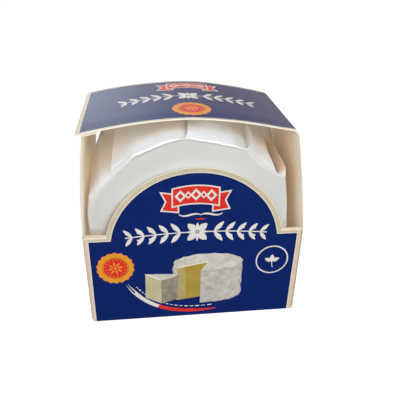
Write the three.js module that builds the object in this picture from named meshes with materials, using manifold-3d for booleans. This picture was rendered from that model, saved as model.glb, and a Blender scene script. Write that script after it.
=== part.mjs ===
// A small soft cheese as it is sold: a drum of cheese wrapped in white paper,
// standing on its edge in a folded card sleeve that is open at the top corners.
// Millimetres, +Z up. The origin is at the middle of the sleeve's base, the
// arched front panel faces -Y, and the axis of the round cheese lies along Y.

import * as THREE from 'three';
import { mergeVertices } from 'three/addons/utils/BufferGeometryUtils.js';
import Module from 'manifold-3d';

// ------------------------------------------------------------ driving sizes

const CARD = 0.5;              // thickness of the folded card
const HALF_W = 48.3;           // half of the sleeve's outer width at the base
const DEPTH = 55.7;            // sleeve, front face to back face
const FRONT = -DEPTH / 2;
const BACK = DEPTH / 2;
const BASE_R = 1.1;            // rounding of the two lower folds
const TUBE_FRONT = FRONT + 0.1;   // the walls and lid end just behind the panels' faces
const TUBE_BACK = BACK - 0.1;

const LEAN_Z = 45;             // above this height the side walls lean inwards
const LEFT_TOP = { z: 91.2, lean: 3.6, power: 2.3 };
const RIGHT_TOP = { z: 90.4, lean: 8.0, power: 1.27 };

const LID_APEX = { x: -4, z: 97.65 };   // crown of the bowed lid, at the front
const LID_SPAN = 43;                    // from the crown to either end
const LID_DROP = 5.95;                  // height lost over that span
const LID_POWER = 1.7;
const LID_OVERHANG = 2.1;               // lid past the left wall
const LID_FOLD_R = 2.4;                 // rounded fold into the right wall
const SKEW = { x: 1.5, z: 0.65 };       // the top sits this much over and up at the back,
const SKEW_LEFT = { x: 0, z: 1.2 };     // and this much at the lid's left end
const WALL_PULL = 11.8;                 // the left wall is drawn in at the back
const GLUE_FLAP = 7.0;                  // left wall's flap folded in under the lid

const LEDGE_Z = 45.5;          // shoulders of the front and back panels
const ARCH_R = 39.1;           // half-round head of those panels
const ARCH_X = -0.3;
const ARCH_Z = 37.9;           // height of the arch's centre
const DUST_FLAP = { width: 22, top: 47.2 };   // side walls' flaps glued behind a panel

const DRUM = { x: -1.3, z: 44.64, r: 41.9, front: -25.0, rimR: 0.7 };
const SIDE_END = 20.6;         // the sides of the wrap run back to here
const BACK_END = 26.0;         // rearmost point of the gathered paper
const GAP = 0.35;              // air kept between paper and card

// Creases of the paper, from the front rim to where the sides end: angle from
// +X in degrees and distance from the drum's axis. Paper runs straight from
// one crease to the next, or over the round cheese where that is further out.
const CREASES = [
  { front: [2, 42.2], back: [3, 46.4] },
  { front: [29, 45.3], back: [27, 48.6] },
  { front: [31.5, 45.5], back: [35, 53.6] },
  { front: [35, 45.8], back: [44, 50.6] },
  { front: [38, 44.1], back: [50, 47.6] },
  { front: [60, 44.0], back: [56, 50.6] },
  { front: [94, 43.9], back: [91, 52.3] },
  { front: [106, 44.1], back: [104, 51.8] },
  { front: [123, 44.2], back: [119, 52.0] },
  { front: [137, 44.5], back: [127, 52.4] },
  { front: [146, 45.6], back: [142, 50.3] },
  { front: [157, 46.9], back: [155, 48.1] },
  { front: [166, 45.2], back: [168, 46.6] },
  { front: [178, 43.9], back: [180, 46.2] },
  { front: [203, 44.1], back: [201, 47.4] },
  { front: [227, 43.5], back: [226, 46.8] },
  { front: [249, 43.9], back: [249, 46.0] },
  { front: [270, 44.6], back: [270, 44.6] },
  { front: [291, 43.9], back: [291, 46.0] },
  { front: [313, 43.5], back: [314, 46.8] },
  { front: [337, 44.0], back: [339, 47.4] },
];
const STEPS_PER_CREASE = 5;
const SIDE_RINGS = 9;
const PLEATS = 26;             // radial pleats where the paper is gathered at the back
const PLEAT_DEPTH = 0.9;

const COLOURS = { card: 0x1b2f66, paper: 0xdfe0d8 };

// --------------------------------------------------------------- profiles

const clamp01 = (v) => Math.min(1, Math.max(0, v));
const rise = (z, top) => clamp01((z - LEAN_Z) / (top.z - LEAN_Z));

function leftWallX(z) {
  return -HALF_W + LEFT_TOP.lean * rise(z, LEFT_TOP) ** LEFT_TOP.power;
}

function rightWallX(z) {
  return HALF_W - RIGHT_TOP.lean * rise(z, RIGHT_TOP) ** RIGHT_TOP.power;
}

function lidZ(x) {
  return LID_APEX.z - LID_DROP * Math.abs((x - LID_APEX.x) / LID_SPAN) ** LID_POWER;
}

// Shift of the upper part of the sleeve, growing from the front to the back.
function skew([x, z], t) {
  const s = clamp01((z - LEAN_Z) / (LID_APEX.z - LEAN_Z));
  const left = clamp01((LID_APEX.x - x) / LID_SPAN);
  const k = rise(z, LEFT_TOP);
  const pull = x < -30 ? WALL_PULL * k * (1 - k) ** 0.8 : 0;
  const dx = SKEW.x + (SKEW_LEFT.x - SKEW.x) * left;
  const dz = SKEW.z + (SKEW_LEFT.z - SKEW.z) * left;
  return [x + (dx * s + pull) * t, z + dz * s * t];
}

// Rounds the corner at b between a and c with radius r.
function fillet(a, b, c, r, n = 5) {
  const A = new THREE.Vector2(...a), B = new THREE.Vector2(...b), C = new THREE.Vector2(...c);
  const u = A.clone().sub(B).normalize(), v = C.clone().sub(B).normalize();
  const half = Math.acos(THREE.MathUtils.clamp(u.dot(v), -1, 1)) / 2;
  const reach = r / Math.tan(half);
  const centre = u.clone().add(v).normalize().multiplyScalar(r / Math.sin(half)).add(B);
  const p = u.multiplyScalar(reach).add(B).sub(centre);
  const q = v.multiplyScalar(reach).add(B).sub(centre);
  const sweep = Math.atan2(p.x * q.y - p.y * q.x, p.dot(q));
  return Array.from({ length: n + 1 }, (_, i) => {
    const w = p.clone().rotateAround(new THREE.Vector2(), (sweep * i) / n).add(centre);
    return [w.x, w.y];
  });
}

// Outline of the sleeve round its base, right wall, lid and left wall,
// counter-clockwise in XZ, as the outer face of the card.
function sleeveOutline() {
  const pts = [];
  pts.push(...fillet([0, 0], [HALF_W, 0], [HALF_W, 20], BASE_R, 4));
  for (let z = 12; z < LEAN_Z; z += 11) pts.push([HALF_W, z]);
  const wallEnd = RIGHT_TOP.z - LID_FOLD_R * 0.8;
  for (let i = 0; i <= 9; i++) {
    const z = LEAN_Z + ((wallEnd - LEAN_Z) * i) / 9;
    pts.push([rightWallX(z), z]);
  }
  const corner = [rightWallX(RIGHT_TOP.z), RIGHT_TOP.z + 0.9];
  const lidStart = [corner[0] - LID_FOLD_R * 1.3, lidZ(corner[0] - LID_FOLD_R * 1.3)];
  pts.push(...fillet(pts[pts.length - 1], corner, lidStart, LID_FOLD_R * 0.62, 5));
  const leftTopX = leftWallX(LEFT_TOP.z);
  for (let i = 0; i <= 22; i++) {
    const x = lidStart[0] + ((leftTopX - lidStart[0]) * i) / 22;
    pts.push([x, lidZ(x)]);
  }
  for (let i = 0; i <= 9; i++) {
    const z = LEFT_TOP.z - 0.7 + ((LEAN_Z - LEFT_TOP.z + 0.7) * i) / 9;
    pts.push([leftWallX(z), z]);
  }
  for (let z = 34; z > 10; z -= 11) pts.push([-HALF_W, z]);
  pts.push(...fillet([-HALF_W, 20], [-HALF_W, 0], [0, 0], BASE_R, 4));
  return pts;
}

// Moves a closed counter-clockwise outline inwards by d.
function inset(pts, d) {
  const n = pts.length;
  return pts.map((p, i) => {
    const a = pts[(i + n - 1) % n], c = pts[(i + 1) % n];
    const e1 = new THREE.Vector2(p[0] - a[0], p[1] - a[1]).normalize();
    const e2 = new THREE.Vector2(c[0] - p[0], c[1] - p[1]).normalize();
    const m = new THREE.Vector2(-(e1.y + e2.y), e1.x + e2.x).normalize();
    const k = d / Math.max(0.35, m.x * -e1.y + m.y * e1.x);
    return [p[0] + m.x * k, p[1] + m.y * k];
  });
}

// ------------------------------------------------------------ mesh helpers

function geometryFrom(positions, indices) {
  const g = new THREE.BufferGeometry();
  g.setAttribute('position', new THREE.Float32BufferAttribute(positions, 3));
  g.setIndex(indices);
  return g;
}

// The sleeve's closed section, an outer line and the hole inside it, carried
// from front to back while its upper part leans over.
function tubeGeometry(outer, hole, stations = 5) {
  const ring = [...outer, ...hole];
  const n = ring.length, m = outer.length;
  const faces = THREE.ShapeUtils.triangulateShape(
    outer.map((p) => new THREE.Vector2(...p)), [hole.map((p) => new THREE.Vector2(...p))]);
  const pos = [], idx = [];
  for (let j = 0; j < stations; j++) {
    const t = j / (stations - 1);
    for (const p of ring) {
      const [x, z] = skew(p, t);
      pos.push(x, TUBE_FRONT + (TUBE_BACK - TUBE_FRONT) * t, z);
    }
  }
  for (let j = 0; j < stations - 1; j++) {
    for (let i = 0; i < n; i++) {
      const next = i < m ? (i + 1) % m : m + ((i + 1 - m) % (n - m));
      const a = j * n + i, b = j * n + next;
      idx.push(a, b + n, b, a, a + n, b + n);
    }
  }
  const e = (stations - 1) * n;
  for (const [a, b, c] of faces) {
    idx.push(a, b, c);
    idx.push(e + a, e + c, e + b);
  }
  return geometryFrom(pos, idx);
}

// A flat piece of card standing in the XZ plane, from y0 to y0 + thick.
function panelGeometry(shape, y0, thick, curveSegments = 28) {
  const g = new THREE.ExtrudeGeometry(shape, { depth: thick, bevelEnabled: false, curveSegments });
  g.rotateX(Math.PI / 2);
  g.translate(0, y0 + thick, 0);
  return g;
}

function archedPanel() {
  const s = new THREE.Shape();
  const reach = Math.asin((LEDGE_Z + 0.5 - ARCH_Z) / ARCH_R);
  const side = HALF_W - 0.06;
  s.moveTo(-side + 0.9, 0.05);
  s.lineTo(side - 0.9, 0.05);
  s.lineTo(side, 1.0);
  s.lineTo(side, LEDGE_Z);
  s.lineTo(ARCH_X + ARCH_R * Math.cos(reach) + 1.2, LEDGE_Z);
  s.absarc(ARCH_X, ARCH_Z, ARCH_R, reach, Math.PI - reach, false);
  s.lineTo(ARCH_X - ARCH_R * Math.cos(reach) - 1.2, LEDGE_Z);
  s.lineTo(-side, LEDGE_Z);
  s.lineTo(-side, 1.0);
  return s;
}

function dustFlap(side) {
  const outer = side * (HALF_W - CARD * 0.5), inner = side * (HALF_W - DUST_FLAP.width);
  const s = new THREE.Shape();
  const pts = [[outer, 0.2], [outer, DUST_FLAP.top], [inner + side * 2, DUST_FLAP.top], [inner, DUST_FLAP.top - 4], [inner, 0.2]];
  if (side > 0) pts.reverse();
  pts.reverse();
  pts.forEach(([x, z], i) => (i ? s.lineTo(x, z) : s.moveTo(x, z)));
  return s;
}

// ----------------------------------------------------------- card sleeve

const wasm = await Module();
wasm.setup();

function solid(geometry) {
  let g = geometry.clone();
  for (const name of Object.keys(g.attributes)) if (name !== 'position') g.deleteAttribute(name);
  g = mergeVertices(g, 1e-4);
  return new wasm.Manifold(new wasm.Mesh({
    numProp: 3,
    vertProperties: new Float32Array(g.attributes.position.array),
    triVerts: new Uint32Array(g.index.array),
  }));
}

function fromSolid(m) {
  const mesh = m.getMesh();
  const g = geometryFrom(Array.from(mesh.vertProperties), Array.from(mesh.triVerts));
  g.computeVertexNormals();
  return g;
}

const outline = sleeveOutline();
const hole = inset(outline, CARD);

// The lid reaches past the left wall, and the wall's own flap runs in under it.
const wallTop = leftWallX(LEFT_TOP.z);
const tongueTip = wallTop - LID_OVERHANG;
const cut = outline.findIndex((p, i) => i > 20 && p[0] <= wallTop + 1e-6);
const outer = [
  ...outline.slice(0, cut + 1),
  [tongueTip, lidZ(tongueTip)],
  [tongueTip + 0.12, lidZ(tongueTip) - CARD],
  [wallTop - 0.02, lidZ(wallTop) - CARD],
  ...outline.slice(cut + 1),
];
const flapEnd = wallTop + GLUE_FLAP;
const under = hole.filter((p) => !(p[1] > LEFT_TOP.z - 3 && p[0] < flapEnd));
const split = under.findIndex((p, i) => i > 20 && p[0] < flapEnd && p[1] < LEFT_TOP.z - 2);
const flapLine = Array.from({ length: 4 }, (_, i) => {
  const x = flapEnd + ((wallTop + CARD - flapEnd) * i) / 3;
  return [x, lidZ(x) - CARD * 2];
});
const inner = [
  ...under.slice(0, split),
  [flapEnd, lidZ(flapEnd) - CARD],
  ...flapLine,
  ...under.slice(split),
];

let sleeve = solid(tubeGeometry(outer, inner.reverse()));
for (const [panelY, flapY] of [[FRONT, FRONT + CARD - 0.1], [BACK - CARD, BACK - 2 * CARD]]) {
  sleeve = sleeve.add(solid(panelGeometry(archedPanel(), panelY, CARD)));
  for (const side of [-1, 1]) sleeve = sleeve.add(solid(panelGeometry(dustFlap(side), flapY, CARD + 0.1)));
}

// ----------------------------------------------------- paper-wrapped drum

const limitOutline = inset(outline, CARD + GAP);

// Distance from the drum's axis to the sleeve's inner face, less the air gap.
function roomAt(angle, t) {
  const dx = Math.cos(angle), dz = Math.sin(angle);
  let best = Infinity;
  for (let i = 0; i < limitOutline.length; i++) {
    const [ax, az] = skew(limitOutline[i], t);
    const [bx, bz] = skew(limitOutline[(i + 1) % limitOutline.length], t);
    const ex = bx - ax, ez = bz - az;
    const det = dx * -ez + dz * ex;
    if (Math.abs(det) < 1e-9) continue;
    const px = ax - DRUM.x, pz = az - DRUM.z;
    const r = (px * -ez + pz * ex) / det;
    const s = (dx * pz - dz * px) / det;
    if (r > 0 && s >= -1e-6 && s <= 1 + 1e-6) best = Math.min(best, r);
  }
  return best;
}

// Outline of the wrap at share v of the way from the rim to the sides' end.
function wrapRing(v, y) {
  const t = clamp01((y - FRONT) / DEPTH);
  const corner = (k) => {
    const c = CREASES[k % CREASES.length];
    const turn = k >= CREASES.length ? 360 : 0;
    const angle = THREE.MathUtils.degToRad(c.front[0] + (c.back[0] - c.front[0]) * v + turn);
    const r = c.front[1] + (c.back[1] - c.front[1]) * v;
    return [r * Math.cos(angle), r * Math.sin(angle)];
  };
  const ring = [];
  for (let k = 0; k < CREASES.length; k++) {
    const a = corner(k), b = corner(k + 1);
    for (let i = 0; i < STEPS_PER_CREASE; i++) {
      const f = i / STEPS_PER_CREASE;
      const x = a[0] + (b[0] - a[0]) * f, z = a[1] + (b[1] - a[1]) * f;
      const angle = Math.atan2(z, x);
      const r = Math.min(Math.max(Math.hypot(x, z), DRUM.r), roomAt(angle, t));
      ring.push([angle, r]);
    }
  }
  return ring;
}

function wrapGeometry() {
  const n = CREASES.length * STEPS_PER_CREASE;
  const rings = [];
  const front = wrapRing(0, DRUM.front);
  for (const share of [0.35, 0.7, 0.93]) rings.push(front.map(([a, r]) => [a, r * share, DRUM.front]));
  rings.push(front.map(([a, r]) => [a, r - DRUM.rimR, DRUM.front + 0.1]));
  rings.push(front.map(([a, r]) => [a, r - DRUM.rimR * 0.3, DRUM.front + DRUM.rimR * 0.4]));
  for (let j = 0; j <= SIDE_RINGS; j++) {
    const y = DRUM.front + DRUM.rimR + ((SIDE_END - DRUM.front - DRUM.rimR) * j) / SIDE_RINGS;
    rings.push(wrapRing(j / SIDE_RINGS, y).map(([a, r]) => [a, r, y]));
  }
  const last = wrapRing(1, SIDE_END);
  const pleat = (a, amount) => amount * PLEAT_DEPTH * Math.abs(((a * PLEATS) / (2 * Math.PI) + 100) % 1 * 2 - 1);
  for (const [shrink, y, amount] of [[1.2, 22.6, 0.5], [4.2, 24.3, 1], [12, 25.1, 1], [24, 25.6, 0.8], [36, 25.9, 0.3]]) {
    rings.push(last.map(([a, r]) => [a, r - shrink, Math.min(BACK_END, y - pleat(a, amount))]));
  }
  const pos = [], idx = [];
  for (const ring of rings) {
    for (const [a, r, y] of ring) pos.push(DRUM.x + r * Math.cos(a), y, DRUM.z + r * Math.sin(a));
  }
  const frontPole = pos.length / 3;
  pos.push(DRUM.x, DRUM.front, DRUM.z);
  pos.push(DRUM.x, BACK_END, DRUM.z);
  const e = (rings.length - 1) * n;
  for (let i = 0; i < n; i++) {
    const i2 = (i + 1) % n;
    idx.push(frontPole, i, i2);
    idx.push(frontPole + 1, e + i2, e + i);
    for (let j = 0; j < rings.length - 1; j++) {
      const a = j * n + i, b = j * n + i2;
      idx.push(a, a + n, b + n, a, b + n, b);
    }
  }
  return geometryFrom(pos, idx);
}

// --------------------------------------------------------------- the part

const material = (color, roughness) => new THREE.MeshStandardMaterial({ color, roughness, metalness: 0 });

const part = new THREE.Group();
part.name = 'wrapped_cheese_in_sleeve';

const carton = new THREE.Mesh(fromSolid(sleeve), material(COLOURS.card, 0.35));
carton.name = 'carton';
part.add(carton);

const wrap = wrapGeometry();
wrap.computeVertexNormals();
const cheese = new THREE.Mesh(wrap, material(COLOURS.paper, 0.6));
cheese.name = 'wrapped_cheese';
part.add(cheese);

export default part;
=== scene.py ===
# A small soft cheese in white paper, standing on its edge in a printed card
# sleeve. Sizes are in millimetres here and become metres as meshes are made.

import bpy
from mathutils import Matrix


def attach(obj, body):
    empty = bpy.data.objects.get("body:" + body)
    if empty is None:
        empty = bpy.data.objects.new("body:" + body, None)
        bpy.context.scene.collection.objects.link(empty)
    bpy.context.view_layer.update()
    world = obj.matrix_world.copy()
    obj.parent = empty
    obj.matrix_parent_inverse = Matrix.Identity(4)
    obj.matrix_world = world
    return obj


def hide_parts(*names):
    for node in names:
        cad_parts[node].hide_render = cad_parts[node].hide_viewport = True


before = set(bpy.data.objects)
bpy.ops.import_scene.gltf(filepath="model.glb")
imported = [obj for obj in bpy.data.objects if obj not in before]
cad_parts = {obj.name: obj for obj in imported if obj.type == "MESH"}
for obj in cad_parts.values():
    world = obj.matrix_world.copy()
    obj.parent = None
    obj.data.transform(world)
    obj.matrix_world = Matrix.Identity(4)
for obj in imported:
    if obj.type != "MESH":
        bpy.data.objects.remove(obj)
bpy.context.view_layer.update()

import bpy
import math
import numpy as np
from mathutils import Matrix, Vector, noise
from mathutils.geometry import delaunay_2d_cdt

MM = 0.001

# ---------------------------------------------------------------- the camera

cam_data = bpy.data.cameras.new("camera")
cam_data.sensor_width = 36.0
cam_data.lens = 40.5
cam_data.clip_start = 0.01
cam_data.clip_end = 50.0
camera = bpy.data.objects.new("camera", cam_data)
CAM_AT = np.array([-21.825, -190.597, 149.615])
CAM_RIGHT = np.array([0.99172, -0.12586, 0.02535])
CAM_UP = np.array([0.03685, 0.46822, 0.88284])
CAM_AHEAD = np.array([0.12298, 0.8746, -0.46898])
m = Matrix.Identity(4)
for row in range(3):
    m[row][0] = CAM_RIGHT[row]
    m[row][1] = CAM_UP[row]
    m[row][2] = -CAM_AHEAD[row]
    m[row][3] = CAM_AT[row] * MM
camera.matrix_world = m
bpy.context.scene.collection.objects.link(camera)
bpy.context.scene.camera = camera

# ------------------------------------------------------- sizes of the sleeve

CARD = 0.5
HALF_W = 48.3
DEPTH = 55.7
FRONT = -DEPTH / 2
BACK = DEPTH / 2
BASE_R = 1.1
LEAN_Z = 45.0
LEFT_TOP = (91.2, 3.6, 2.3)     # height, lean, power
RIGHT_TOP = (90.4, 8.0, 1.27)
LID_X, LID_Z = -4.0, 97.65
LID_SPAN, LID_DROP, LID_POWER = 43.0, 5.95, 1.7
LID_OVERHANG = 2.1
LID_FOLD_R = 2.4
SKEW_X, SKEW_Z = 1.5, 0.65      # the top's shift from front to back
LEFT_SKEW_X, LEFT_SKEW_Z = 0.0, 1.2
WALL_PULL = 7.5
GLUE_FLAP = 7.0
LEDGE_Z = 45.5
ARCH_R, ARCH_X, ARCH_Z = 39.1, -0.3, 37.9
DUST_TOP_LEFT, DUST_TOP_RIGHT, DUST_WIDTH = 46.8, 46.3, 22.0
LID_DROOP = 0.38                # how far the lid's front edge hangs down
PANEL_IN = 0.75                 # panel edge, in from the box's corner
FOLD = 0.4                      # rounding of the panels' bottom folds


def clamp01(v):
    return min(1.0, max(0.0, v))


def left_wall_x(z):
    top, lean, power = LEFT_TOP
    return -HALF_W + lean * clamp01((z - LEAN_Z) / (top - LEAN_Z)) ** power


def right_wall_x(z):
    top, lean, power = RIGHT_TOP
    return HALF_W - lean * clamp01((z - LEAN_Z) / (top - LEAN_Z)) ** power


def lid_z(x):
    return LID_Z - LID_DROP * abs((x - LID_X) / LID_SPAN) ** LID_POWER


def side_shift(x, z):
    """The walls are not quite upright: how far each stands off its square."""
    left = np.interp(z, [0, 20, 38, 46, 50, 57, 80, 92], [0.42, 0.5, 0.42, 0.1, 0.05, 0.3, 0.25, 0.1])
    right = np.interp(z, [0, 15, 38, 45, 50, 60, 70, 80], [0.35, 0.25, 0.0, -0.2, -0.35, -0.3, -0.15, 0.0])
    return left + (right - left) * clamp01((x + 46) / 92)


# ------------------------------------------------------------ node materials


class Nodes:
    """Small helper for building a material's node tree."""

    def __init__(self, name):
        self.mat = bpy.data.materials.new(name)
        self.mat.use_nodes = True
        self.tree = self.mat.node_tree
        self.bsdf = self.tree.nodes["Principled BSDF"]

    def new(self, kind, **values):
        n = self.tree.nodes.new(kind)
        for k, v in values.items():
            setattr(n, k, v)
        return n

    def link(self, a, b):
        self.tree.links.new(a, b)

    def coords(self):
        return self.new("ShaderNodeTexCoord").outputs["Object"]

    def noise(self, scale, detail=4.0, rough=0.55, stretch=None):
        n = self.new("ShaderNodeTexNoise")
        n.inputs["Scale"].default_value = scale
        n.inputs["Detail"].default_value = detail
        n.inputs["Roughness"].default_value = rough
        if stretch:
            mp = self.new("ShaderNodeMapping")
            mp.inputs["Scale"].default_value = stretch
            self.link(self.coords(), mp.inputs["Vector"])
            self.link(mp.outputs["Vector"], n.inputs["Vector"])
        else:
            self.link(self.coords(), n.inputs["Vector"])
        return n.outputs["Fac"]

    def ramp(self, fac, stops):
        r = self.new("ShaderNodeValToRGB")
        r.color_ramp.elements[0].position = stops[0][0]
        r.color_ramp.elements[0].color = (*stops[0][1], 1)
        r.color_ramp.elements[1].position = stops[-1][0]
        r.color_ramp.elements[1].color = (*stops[-1][1], 1)
        for pos, col in stops[1:-1]:
            e = r.color_ramp.elements.new(pos)
            e.color = (*col, 1)
        self.link(fac, r.inputs["Fac"])
        return r.outputs["Color"]

    def bump(self, height, strength, distance):
        b = self.new("ShaderNodeBump")
        b.inputs["Strength"].default_value = strength
        b.inputs["Distance"].default_value = distance
        self.link(height, b.inputs["Height"])
        return b

    def add(self, *facs):
        total = facs[0]
        for f in facs[1:]:
            a = self.new("ShaderNodeMath", operation="ADD")
            self.link(total, a.inputs[0])
            self.link(f, a.inputs[1])
            total = a.outputs[0]
        return total

    def scaled(self, fac, k):
        a = self.new("ShaderNodeMath", operation="MULTIPLY")
        self.link(fac, a.inputs[0])
        a.inputs[1].default_value = k
        return a.outputs[0]


def srgb(r, g, b):
    def lin(c):
        c /= 255.0
        return c / 12.92 if c <= 0.04045 else ((c + 0.055) / 1.055) ** 2.4
    return (lin(r), lin(g), lin(b))


def spread(colour, by):
    lo = tuple(max(0.0, c * (1 - by)) for c in colour)
    hi = tuple(min(1.0, c * (1 + by)) for c in colour)
    return lo, hi


def printed(name, colour, variation=0.08, rough=0.27, coat=0.0, coat_rough=0.2):
    """Ink under varnish on card: faint mottling, and the card's slow waviness."""
    n = Nodes(name)
    lo, hi = spread(colour, variation)
    n.link(n.ramp(n.noise(260.0, 5.0, 0.6), [(0.3, lo), (0.7, hi)]), n.bsdf.inputs["Base Color"])
    n.bsdf.inputs["Roughness"].default_value = rough
    n.bsdf.inputs["Coat Weight"].default_value = coat
    n.bsdf.inputs["Coat Roughness"].default_value = coat_rough
    n.bsdf.inputs["Specular IOR Level"].default_value = 0.5
    h = n.add(n.scaled(n.noise(900.0, 3.0, 0.6), 0.35), n.scaled(n.noise(90.0, 2.0, 0.5), 1.0))
    b = n.bump(h, 0.25, 0.00025)
    n.link(b.outputs["Normal"], n.bsdf.inputs["Normal"])
    return n.mat


def mottled(name, stops, scale, rough=0.4, stretch=None):
    """A printed picture's texture: the rind's cloudy white or the curd's yellow."""
    n = Nodes(name)
    n.link(n.ramp(n.noise(scale, 6.0, 0.62, stretch), stops), n.bsdf.inputs["Base Color"])
    n.bsdf.inputs["Roughness"].default_value = rough
    n.bsdf.inputs["Coat Weight"].default_value = 0.3
    n.bsdf.inputs["Coat Roughness"].default_value = 0.22
    b = n.bump(n.noise(90.0, 2.0, 0.5), 0.2, 0.0002)
    n.link(b.outputs["Normal"], n.bsdf.inputs["Normal"])
    return n.mat


def board(name, colour, deep_shade=None, rough=0.85, fibre=0.5):
    """Uncoated card: matt, with short fibres and flecks. Where a second colour is
    given, painted shade: browner away from the front and back edges, and darker by the mesh's corner_shade layer."""
    n = Nodes(name)
    fine = n.noise(1400.0, 4.0, 0.7, stretch=(1.0, 0.35, 1.0))
    broad = n.noise(120.0, 3.0, 0.5)
    mix = n.add(n.scaled(fine, 0.55), n.scaled(broad, 0.45))

    def speckled(c):
        lo, hi = spread(c, 0.06)
        return n.ramp(mix, [(0.3, lo), (0.52, c), (0.72, hi)])

    def blended(factor, a, b):
        m = n.new("ShaderNodeMix", data_type="RGBA")
        n.link(factor, m.inputs["Factor"])
        n.link(a, m.inputs[6])
        n.link(b, m.inputs[7])
        return m.outputs[2]
    if deep_shade:
        axes = n.new("ShaderNodeSeparateXYZ")
        n.link(n.coords(), axes.inputs[0])
        far = n.new("ShaderNodeMath", operation="ABSOLUTE")
        n.link(axes.outputs["Y"], far.inputs[0])
        near_edge = n.new("ShaderNodeMapRange", interpolation_type="SMOOTHSTEP")
        n.link(far.outputs[0], near_edge.inputs["Value"])
        near_edge.inputs["From Min"].default_value = 0.013
        near_edge.inputs["From Max"].default_value = 0.027
        own = blended(near_edge.outputs["Result"], speckled(deep_shade), speckled(colour))
        # painted shade: the corner_shade layer darkens the inner face towards dark brown
        corner = n.new("ShaderNodeAttribute", attribute_name="corner_shade")
        n.link(blended(corner.outputs["Fac"], own, speckled((0.27, 0.23, 0.17))), n.bsdf.inputs["Base Color"])
    else:
        n.link(speckled(colour), n.bsdf.inputs["Base Color"])
    n.bsdf.inputs["Roughness"].default_value = rough
    n.bsdf.inputs["Specular IOR Level"].default_value = 0.25
    b = n.bump(fine, fibre, 0.0001)
    n.link(b.outputs["Normal"], n.bsdf.inputs["Normal"])
    return n.mat


(NAVY, CREAM, LINE, RED, ORANGE, GOLD, RIND, RIND_TOP, CURD, CURD_SIDE, INSIDE, EDGE,
 NAVY_EDGE, CREAM_SIDE, FOLD_SHADE_LINE, BRIGHT, RIND_DARK, CUT_FACE, UNDER_LID) = range(19)
print_mats = [
    printed("navy_ink", (0.0035, 0.018, 0.135), 0.1),
    printed("cream_border", (0.62, 0.53, 0.37), 0.05),
    printed("pale_line", (0.78, 0.75, 0.70), 0.04),
    printed("red_ink", (0.72, 0.035, 0.025), 0.08),
    printed("orange_ink", (0.86, 0.30, 0.04), 0.08),
    printed("gold_ink", (0.76, 0.355, 0.03), 0.08),
    mottled("rind_print", [(0.25, (0.30, 0.28, 0.25)), (0.45, (0.50, 0.47, 0.43)), (0.7, (0.66, 0.63, 0.58))], 420.0),
    mottled("rind_top_print", [(0.25, (0.48, 0.46, 0.40)), (0.5, (0.63, 0.60, 0.53)), (0.75, (0.78, 0.76, 0.70))], 380.0),
    mottled("curd_print", [(0.2, (0.36, 0.25, 0.035)), (0.55, (0.44, 0.31, 0.055)), (0.8, (0.50, 0.37, 0.10))], 160.0),
    mottled("curd_side_print", [(0.2, (0.44, 0.34, 0.12)), (0.55, (0.50, 0.40, 0.17)), (0.8, (0.56, 0.46, 0.24))], 200.0),
    board("board_inside", (0.92, 0.88, 0.79), deep_shade=(0.86, 0.71, 0.52)),
    board("board_edge", (0.80, 0.78, 0.70), rough=0.8),
    printed("navy_rim_ink_and_shade_line", (0.0022, 0.0075, 0.045), 0.1),
    printed("cream_side_border", (0.74, 0.61, 0.45), 0.05),
    # painted shade for the shadowed side of folds
    printed("fold_shade_line", (0.42, 0.33, 0.22), 0.08),
    # painted highlight for cut edges; also a pale ink in the cheese picture
    printed("edge_highlight_and_pale_ink", (0.93, 0.86, 0.74), 0.04, rough=0.6),
    mottled("rind_dark_print", [(0.25, (0.20, 0.17, 0.13)), (0.5, (0.30, 0.26, 0.20)), (0.75, (0.42, 0.38, 0.31))], 420.0),
    mottled("cut_face_print", [(0.2, (0.48, 0.43, 0.26)), (0.55, (0.56, 0.51, 0.33)), (0.8, (0.63, 0.58, 0.42))], 200.0),
    board("board_under_lid", (0.93, 0.91, 0.86)),
]

# ---------------------------------------------------------- 2D print shapes


def ccw(poly):
    area = sum(a[0] * b[1] - b[0] * a[1] for a, b in zip(poly, poly[1:] + poly[:1]))
    return list(poly) if area > 0 else list(poly)[::-1]


def circle(cx, cy, r, n=48, start=0.0):
    return [(cx + r * math.cos(start + 2 * math.pi * i / n), cy + r * math.sin(start + 2 * math.pi * i / n)) for i in range(n)]


def ellipse(cx, cy, a, b, n=40, turn=0.0):
    c, s = math.cos(turn), math.sin(turn)
    out = []
    for i in range(n):
        t = 2 * math.pi * i / n
        x, y = a * math.cos(t), b * math.sin(t)
        out.append((cx + x * c - y * s, cy + x * s + y * c))
    return out


def scallop(cx, cy, r, depth, count, per=8):
    out = []
    for i in range(count * per):
        t = 2 * math.pi * i / (count * per)
        out.append((cx + (r + depth * abs(math.sin(count * t / 2)) - depth) * math.cos(t),
                    cy + (r + depth * abs(math.sin(count * t / 2)) - depth) * math.sin(t)))
    return out


def leaf(x, y, angle, length, width, n=9):
    """An almond shape from (x, y) along angle."""
    c, s = math.cos(angle), math.sin(angle)
    side = []
    for i in range(n + 1):
        t = i / n
        side.append((t * length, 0.5 * width * math.sin(math.pi * t) ** 0.8))
    pts = side + [(a, -b) for a, b in reversed(side[1:-1])]
    return [(x + a * c + b * s, y + a * s - b * c) for a, b in reversed(pts)]


def bezier(p0, p1, p2, p3, n=16):
    out = []
    for i in range(n + 1):
        t = i / n
        q = 1 - t
        out.append(tuple(q ** 3 * a + 3 * q * q * t * b + 3 * q * t * t * c + t ** 3 * d for a, b, c, d in zip(p0, p1, p2, p3)))
    return out


def ribbon(line, width):
    """A band along a line; width is a number or a function of the share along it."""
    left, right = [], []
    n = len(line)
    for i, (x, y) in enumerate(line):
        a, b = line[max(0, i - 1)], line[min(n - 1, i + 1)]
        dx, dy = b[0] - a[0], b[1] - a[1]
        k = math.hypot(dx, dy) or 1.0
        w = 0.5 * (width(i / (n - 1)) if callable(width) else width)
        left.append((x - dy / k * w, y + dx / k * w))
        right.append((x + dy / k * w, y - dx / k * w))
    return right + left[::-1]


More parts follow.
